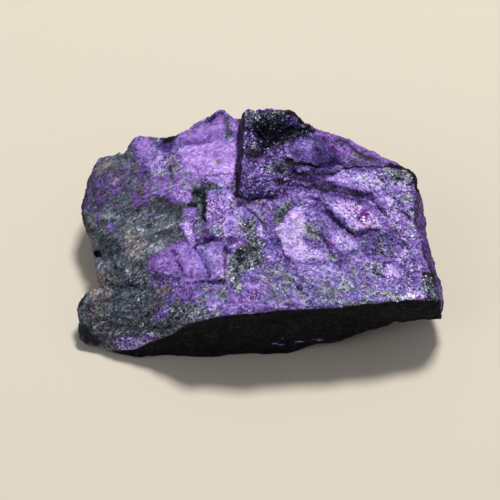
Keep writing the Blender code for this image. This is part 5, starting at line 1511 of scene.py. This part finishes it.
@dataclass
class Grain:
    """The patterns that the finish is made of, each from 0 to 1. Every scale counts to the millimetre."""

    sheet: NodeSheet
    cleavage_bend: Span = (-8.0, -2.0)
    fold_width: float = 0.030
    streak_width: float = 0.022
    crack_scale: float = 0.42
    crack_width: float = 0.040
    crack_bend: float = 2.4
    crack_bend_scale: float = 0.5
    crack_bend_detail: float = 3.0
    crack_edge: Span = (0.42, 0.56)
    grain_scale: float = 3.8

    def __post_init__(self) -> None:
        """Adds the patterns to the sheet."""
        sheet = self.sheet
        self.place = sheet.placed(sheet.add("TexCoord").outputs["Object"], scale=(1.0 / MM,) * 3)
        self.broad = sheet.noise(self.place, scale=0.55, detail=6.0, rough=0.62)
        self.middle = self.shifted((31.0, 17.0, 5.0), scale=1.05, detail=5.0, rough=0.62)
        self.veil = self.shifted((7.0, 47.0, 25.0), scale=0.80, detail=7.0, rough=0.66)
        self.drift = self.shifted((57.0, 3.0, 61.0), scale=0.50, detail=3.0, rough=0.5)
        along_x = sheet.add("SeparateXYZ", Vector=self.place).outputs["X"]
        self.right = sheet.edge(along_x, *self.cleavage_bend)
        self.dust = self.leaning((0.60, 1.30, 1.0), scale=4.4, detail=2.0, rough=0.75)
        self.streaks = self.leaning((0.20, 1.5, 1.0), scale=1.35, detail=4.0, rough=0.6)
        folds = self.shifted((3.0, 71.0, 9.0), scale=0.75, detail=5.0, rough=0.6)
        lines = sheet.reckon("MAXIMUM", self.groove(folds, self.fold_width),
                             self.groove(self.streaks, self.streak_width))
        self.creases = sheet.reckon("MAXIMUM", lines, self.cracks())
        self.tints = sheet.cells(self.place, self.grain_scale).outputs["Color"]
        self.first, self.second, self.third = sheet.add("SeparateColor", Color=self.tints).outputs

    def shifted(self, shift: Triple, scale: float, detail: float, rough: float) -> bpy.types.NodeSocket:
        """Noise that is read some millimetres off, so that it isn't like the others."""
        return self.sheet.noise(self.sheet.placed(self.place, shift), scale, detail, rough)

    def leaning(self, squeeze: Triple, scale: float, detail: float, rough: float) -> bpy.types.NodeSocket:
        """Noise drawn out along the stone's cleavage, which rises to the right at its left and falls beyond.

        Args:
            squeeze: how far the noise is squeezed along X, Y and Z. It's drawn out where this is under 1.
            scale: clouds to the millimetre.
            detail: how many finer layers it has.
            rough: how strong the finer layers are.

        Returns:
            The noise's socket, from 0 to 1.
        """
        sheet = self.sheet
        rising = sheet.noise(sheet.placed(self.place, turn=RISING, scale=squeeze), scale, detail, rough)
        falling = sheet.noise(sheet.placed(self.place, turn=FALLING, scale=squeeze), scale, detail, rough)
        return sheet.blend(self.right, rising, falling, Kind.NUMBER)

    def cracks(self) -> bpy.types.NodeSocket:
        """A net of hair-fine cracks that wander, and break off where the veil is thin.

        Returns:
            The socket, 1 in a crack and 0 beside it.
        """
        sheet = self.sheet
        bends = sheet.add("TexNoise", Vector=self.place, Scale=self.crack_bend_scale,
                          Detail=self.crack_bend_detail).outputs["Color"]
        place = sheet.reckon_vectors("MULTIPLY_ADD", bends, (self.crack_bend,) * 3, self.place)
        net = sheet.add("TexVoronoi", {"feature": "DISTANCE_TO_EDGE"}, Vector=place, Scale=self.crack_scale)
        thin = sheet.edge(net.outputs["Distance"], self.crack_width, 0.0)
        return sheet.reckon("MULTIPLY", thin, sheet.edge(self.veil, *self.crack_edge))

    def groove(self, pattern: bpy.types.NodeSocket, width: float) -> bpy.types.NodeSocket:
        """1 along the lines where a pattern is at its middle, and 0 beside them."""
        off = self.sheet.reckon("ABSOLUTE", self.sheet.reckon("SUBTRACT", pattern, 0.5))
        return self.sheet.edge(off, width, 0.0)


@dataclass(frozen=True)
class PurpuriteFinish:
    """Violet to lilac stone, grey-green and black-brown where weathered, near black in crusts and painted
    shade, glittering.

    Each edge is where a share rises from 0 to 1, or falls if the edge runs down. Each gain is a factor and
    what is added to the product.
    """

    cool: Stops = (
        (0.00, (0.009, 0.004, 0.034)),
        (0.18, (0.031, 0.018, 0.114)),
        (0.36, (0.090, 0.060, 0.280)),
        (0.54, (0.194, 0.139, 0.472)),
        (0.72, (0.352, 0.272, 0.728)),
        (0.86, (0.560, 0.470, 0.930)),
        (1.00, (0.840, 0.770, 1.000)),
    )
    warm: Stops = (
        (0.00, (0.011, 0.003, 0.029)),
        (0.18, (0.043, 0.014, 0.106)),
        (0.36, (0.115, 0.052, 0.260)),
        (0.54, (0.235, 0.120, 0.450)),
        (0.72, (0.385, 0.215, 0.700)),
        (0.86, (0.560, 0.340, 0.930)),
        (1.00, (0.820, 0.640, 1.000)),
    )
    rosy: Stops = (
        (0.00, (0.020, 0.003, 0.020)),
        (0.36, (0.130, 0.018, 0.170)),
        (0.60, (0.310, 0.072, 0.385)),
        (0.86, (0.610, 0.290, 0.760)),
        (1.00, (0.900, 0.740, 0.980)),
    )
    green: Stops = (
        (0.00, (0.004, 0.007, 0.012)),
        (0.30, (0.022, 0.030, 0.044)),
        (0.50, (0.076, 0.090, 0.128)),
        (0.70, (0.190, 0.215, 0.280)),
        (0.86, (0.370, 0.415, 0.490)),
        (1.00, (0.660, 0.740, 0.800)),
    )
    brown: Stops = (
        (0.00, (0.007, 0.005, 0.007)),
        (0.30, (0.036, 0.028, 0.034)),
        (0.50, (0.105, 0.085, 0.092)),
        (0.70, (0.220, 0.185, 0.185)),
        (0.86, (0.380, 0.335, 0.315)),
        (1.00, (0.620, 0.580, 0.540)),
    )
    # The near-black ramp, for crusts and for painted shade.
    crust_and_shade: Stops = (
        (0.00, (0.001, 0.001, 0.001)),
        (0.50, (0.004, 0.003, 0.007)),
        (1.00, (0.036, 0.029, 0.042)),
    )
    glitter_gain: Span = (1.2, 0.25)
    most_glitter: float = 1.7
    patch_edge: Span = (0.34, 0.62)
    patch_gain: Span = (0.9, 0.50)
    crease_shade: float = -0.24
    warm_edge: Span = (0.1, 0.9)
    rosy_edge: Span = (1.25, 1.85)
    worn_gain: Span = (0.95, 0.15)
    worn_grain: float = 0.9
    brown_edge: Span = (0.10, 0.50)
    weather_edge: Span = (0.40, 0.58)
    tan_edge: Span = (0.28, 0.46)
    soot_and_shade_tone: float = 0.40
    crust_and_shade_edge: Span = (0.22, 0.56)
    # The flecks' colour: pale crystals, and painted glints where the glitter is strong.
    fleck_and_glint: Paint = (0.86, 0.96, 1.0, 1.0)
    fleck_scale: float = 3.6
    fleck_metal: float = 0.5
    fleck_more: float = 0.10
    fleck_wider: float = -0.06
    fleck_edge: Span = (0.42, 0.16)
    fleck_tint_edge: Span = (-0.5, 0.7)
    fleck_chance_edge: Span = (1.05, 1.09)
    dull_edge: Span = (0.8, 1.2)
    dull_gain: Span = (0.40, 0.55)
    gloss: float = 0.2
    light_bend: float = 1.5
    bump: float = 0.6
    bump_height: float = 0.00010
    tilt_gain: Span = (0.40, 0.12)
    most_tilt: float = 0.5

    def make(self) -> bpy.types.Material:
        """The finish as a material.

        Returns:
            The material.
        """
        sheet = NodeSheet(bpy.data.materials.new("purple_stone"))
        grain = Grain(sheet)
        flecks_and_glints = self.flecks_and_glints(sheet, grain)
        colour = sheet.blend(flecks_and_glints, self.colour(sheet, grain), self.fleck_and_glint)
        shader = sheet.add("BsdfPrincipled", Base_Color=colour, IOR=self.light_bend,
                           Specular_IOR_Level=self.gloss)
        sheet.feed(shader.inputs["Metallic"], sheet.reckon("MULTIPLY", flecks_and_glints, self.fleck_metal))
        sheet.feed(shader.inputs["Roughness"], self.roughness(sheet, grain))
        sheet.feed(shader.inputs["Normal"], self.normal(sheet, grain))
        sheet.add("OutputMaterial", Surface=shader.outputs["BSDF"])
        return sheet.material

    def colour(self, sheet: NodeSheet, grain: Grain) -> bpy.types.NodeSocket:
        """The stone's colour: violet, then the weathered skin over it, then near black for crusts and
        painted shade.

        Args:
            sheet: the material's sheet.
            grain: its patterns.

        Returns:
            The colour's socket.
        """
        tone = sheet.quality(TONE)
        broken = self.broken(sheet, grain)
        violet = self.violet(sheet, grain, tone, broken)
        worn = self.worn(sheet, grain, tone, broken)
        veil = sheet.sum_up(sheet.quality(WEATHER), (grain.veil, 1.15), (grain.streaks, 0.30),
                            (grain.third, 0.20), (grain.dust, 0.25))
        tan = sheet.sum_up(sheet.quality(TAN), (grain.veil, 0.5), (grain.third, 0.3))
        skin = sheet.edge(veil, *self.weather_edge)
        hidden = sheet.reckon("MAXIMUM", skin, sheet.edge(tan, *self.tan_edge))
        colour = sheet.blend(hidden, violet, worn)
        # Near black over crusts, and as painted shade in gaps, hollows, under edges and on the walls.
        dark = sheet.sum_up(sheet.quality(CRUST_AND_SHADE), (grain.broad, 0.50), (grain.first, 0.16),
                            (grain.dust, 0.30))
        soot_and_shade = sheet.ramp(sheet.sum_up(self.soot_and_shade_tone, (grain.middle, 1.6), (grain.second, 0.4)), self.crust_and_shade)
        return sheet.blend(sheet.edge(dark, *self.crust_and_shade_edge), colour, soot_and_shade)

    def broken(self, sheet: NodeSheet, grain: Grain) -> bpy.types.NodeSocket:
        """The fine grain's light and dark: strongest where the stone glitters, and darker in its creases.

        Args:
            sheet: the material's sheet.
            grain: its patterns.

        Returns:
            What it adds to the tone.
        """
        sparkle = sheet.sum_up(0.0, (grain.first, 0.40), (grain.dust, 1.1))
        coarse = sheet.scaled(sheet.quality(GLITTER), *self.glitter_gain)
        sparkle = sheet.reckon("MULTIPLY", sparkle, sheet.reckon("MINIMUM", coarse, self.most_glitter))
        patchy = sheet.scaled(sheet.edge(grain.veil, *self.patch_edge), *self.patch_gain)
        sparkle = sheet.reckon("MULTIPLY", sparkle, patchy)
        return sheet.scaled(grain.creases, self.crease_shade, sparkle)

    def violet(self, sheet: NodeSheet, grain: Grain, tone: bpy.types.NodeSocket,
               broken: bpy.types.NodeSocket) -> bpy.types.NodeSocket:
        """The fresh stone, from cool violet to magenta.

        Args:
            sheet: the material's sheet.
            grain: its patterns.
            tone: how light the stone is.
            broken: what the fine grain adds to the tone.

        Returns:
            The colour's socket.
        """
        lit = sheet.sum_up(sheet.reckon("ADD", tone, broken), (grain.broad, 0.46), (grain.middle, 0.45),
                           (grain.streaks, 0.50))
        heat = sheet.sum_up(sheet.quality(WARMTH), (grain.drift, 1.2), (grain.third, 0.2))
        warmth = sheet.edge(heat, *self.warm_edge)
        violet = sheet.blend(warmth, sheet.ramp(lit, self.cool), sheet.ramp(lit, self.warm))
        return sheet.blend(sheet.edge(heat, *self.rosy_edge), violet, sheet.ramp(lit, self.rosy))

    def worn(self, sheet: NodeSheet, grain: Grain, tone: bpy.types.NodeSocket,
             broken: bpy.types.NodeSocket) -> bpy.types.NodeSocket:
        """The weathered skin, from grey-green to brown.

        Args:
            sheet: the material's sheet.
            grain: its patterns.
            tone: how light the stone is.
            broken: what the fine grain adds to the tone.

        Returns:
            The colour's socket.
        """
        shade = sheet.sum_up(sheet.scaled(tone, *self.worn_gain), (grain.middle, 0.38), (grain.broad, 0.40),
                             (grain.streaks, 0.62), (grain.second, 0.16))
        shade = sheet.scaled(broken, self.worn_grain, shade)
        aged = sheet.sum_up(sheet.quality(TAN), (grain.drift, 1.3), (grain.second, 0.5), (grain.veil, 0.6))
        brown = sheet.edge(aged, *self.brown_edge)
        return sheet.blend(brown, sheet.ramp(shade, self.green), sheet.ramp(shade, self.brown))

    def flecks_and_glints(self, sheet: NodeSheet, grain: Grain) -> bpy.types.NodeSocket:
        """A few tiny pale crystals, more of them where the stone glitters; where it glitters most they are
        painted white glints.

        Args:
            sheet: the material's sheet.
            grain: its patterns.

        Returns:
            The share of the fleck's colour.
        """
        cells = sheet.cells(grain.place, self.fleck_scale)
        chance = sheet.add("SeparateColor", Color=cells.outputs["Color"]).outputs
        glitter = sheet.quality(GLITTER)
        chosen = sheet.sum_up(sheet.scaled(glitter, self.fleck_more, chance[1]), (grain.middle, 0.3))
        distance = sheet.scaled(glitter, self.fleck_wider, cells.outputs["Distance"])
        varied = sheet.edge(chance[0], *self.fleck_tint_edge)
        near = sheet.reckon("MULTIPLY", sheet.edge(distance, *self.fleck_edge), varied)
        return sheet.reckon("MULTIPLY", sheet.edge(chosen, *self.fleck_chance_edge), near)

    def roughness(self, sheet: NodeSheet, grain: Grain) -> bpy.types.NodeSocket:
        """Each grain's own gloss, and none where crusts and painted shade make the stone near black."""
        dull = sheet.scaled(sheet.edge(sheet.quality(CRUST_AND_SHADE), *self.dull_edge), *self.dull_gain)
        return sheet.sum_up(dull, (grain.first, -0.30), (grain.dust, 0.30))

    def normal(self, sheet: NodeSheet, grain: Grain) -> bpy.types.NodeSocket:
        """The finest grain: each crystal tilted its own way, over a dusty bump.

        Args:
            sheet: the material's sheet.
            grain: its patterns.

        Returns:
            The normal's socket.
        """
        bump = sheet.add("Bump", Strength=self.bump, Distance=self.bump_height, Height=grain.dust)
        way = sheet.reckon_vectors("SUBTRACT", grain.tints, MIDDLE)
        tilt = sheet.reckon("MINIMUM", self.most_tilt, sheet.scaled(sheet.quality(GLITTER), *self.tilt_gain))
        tilted = sheet.add("VectorMath", {"operation": "SCALE"}, Vector=way, Scale=tilt).outputs[0]
        return sheet.reckon_vectors("NORMALIZE", sheet.reckon_vectors("ADD", bump.outputs["Normal"], tilted))


@dataclass
class PhotoCamera:
    """The camera at the photograph's viewing angle, far off with a long lens."""

    side_pixels: float = 500.0
    pixels_per_mm: float = 7.3
    origin_column: float = 260.0
    origin_row: float = 356.0
    middle_height: float = 8.0
    distance: float = 1.4
    sensor: float = 36.0
    near: float = 0.05
    far: float = 20.0

    def build(self) -> bpy.types.Object:
        """Makes the camera and gives it to the scene.

        Returns:
            The camera.
        """
        data = bpy.data.cameras.new("photo_camera")
        camera = bpy.data.objects.new("photo_camera", data)
        bpy.context.scene.collection.objects.link(camera)
        half = self.side_pixels / 2.0
        right = (half - self.origin_column) / self.pixels_per_mm
        up = (self.origin_row - half) / self.pixels_per_mm
        target = SIGHT.point(right, up, self.middle_height)
        camera.location = target + SIGHT.back() * self.distance
        camera.rotation_mode = "QUATERNION"
        camera.rotation_quaternion = (-SIGHT.back()).to_track_quat("-Z", "Y")
        data.sensor_width = self.sensor
        data.lens = self.sensor * self.distance / (self.side_pixels / self.pixels_per_mm * MM)
        data.clip_start = self.near
        data.clip_end = self.far
        bpy.context.scene.camera = camera
        return camera


@dataclass(frozen=True)
class Lamp:
    """A square lamp that shines on the stone: its place and side in metres, its watts and its colour."""

    name: str
    place: Triple
    side: float
    power: float
    colour: Colour

    def build(self) -> bpy.types.Object:
        """Makes the lamp.

        Returns:
            The lamp.
        """
        light = bpy.data.lights.new(self.name, "AREA")
        light.size = self.side
        light.energy = self.power
        light.color = self.colour
        lamp = bpy.data.objects.new(self.name, light)
        bpy.context.scene.collection.objects.link(lamp)
        lamp.location = self.place
        lamp.rotation_mode = "QUATERNION"
        lamp.rotation_quaternion = (-Vector(self.place)).to_track_quat("-Z", "Y")
        return lamp


@dataclass
class Stage:
    """A plain pale floor, and soft studio light that comes mostly from above and behind the stone."""

    floor_side: float = 6.0
    floor_drop: float = 0.00003
    floor_colour: Paint = (0.72, 0.665, 0.555, 1.0)
    floor_roughness: float = 0.9
    sky_colour: Paint = (0.93, 0.95, 1.0, 1.0)
    sky_strength: float = 0.22
    lamps: tuple[Lamp, ...] = (
        Lamp("key_light", place=(0.10, 0.30, 0.72), side=0.15, power=5.4, colour=(1.0, 0.97, 0.93)),
        Lamp("fill_light", place=(-0.45, -0.30, 0.50), side=0.50, power=0.7, colour=(0.92, 0.94, 1.0)),
    )

    def build(self) -> None:
        """Makes the floor, the lights and the surroundings."""
        self.floor()
        for lamp in self.lamps:
            lamp.build()
        world = bpy.data.worlds.new("studio")
        bpy.context.scene.world = world
        world.use_nodes = True
        back = world.node_tree.nodes["Background"]
        back.inputs["Color"].default_value = self.sky_colour
        back.inputs["Strength"].default_value = self.sky_strength
        bpy.context.scene.view_settings.view_transform = "Standard"

    def floor(self) -> bpy.types.Object:
        """The floor.

        Returns:
            The floor's object.
        """
        bpy.ops.mesh.primitive_plane_add(size=self.floor_side, location=(0.0, 0.0, -self.floor_drop))
        floor = bpy.context.active_object
        floor.name = "floor"
        sheet = NodeSheet(bpy.data.materials.new("pale_floor"))
        shader = sheet.add("BsdfPrincipled", Base_Color=self.floor_colour, Roughness=self.floor_roughness)
        sheet.add("OutputMaterial", Surface=shader.outputs["BSDF"])
        floor.data.materials.append(sheet.material)
        return floor


def dress(piece: bpy.types.Object, material: bpy.types.Material) -> None:
    """Gives the stone its finish and its place in the frame.

    Args:
        piece: the stone.
        material: its finish.
    """
    piece.data.materials.clear()
    piece.data.materials.append(material)
    piece.data.shade_smooth()
    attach(piece, "root")
    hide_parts(NODE)


def main() -> None:
    """Builds the stone, then its stage and the camera."""
    logging.basicConfig(level=logging.INFO, format="%(name)s: %(message)s")
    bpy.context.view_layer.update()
    stone = RoughStone().build()
    dress(stone, PurpuriteFinish().make())
    log.info("%s has %d triangles", stone.name, len(stone.data.polygons))
    Stage().build()
    camera = PhotoCamera().build()
    log.info("%s has a lens of %.0f mm", camera.name, camera.data.lens)


if __name__ == "__main__":
    main()
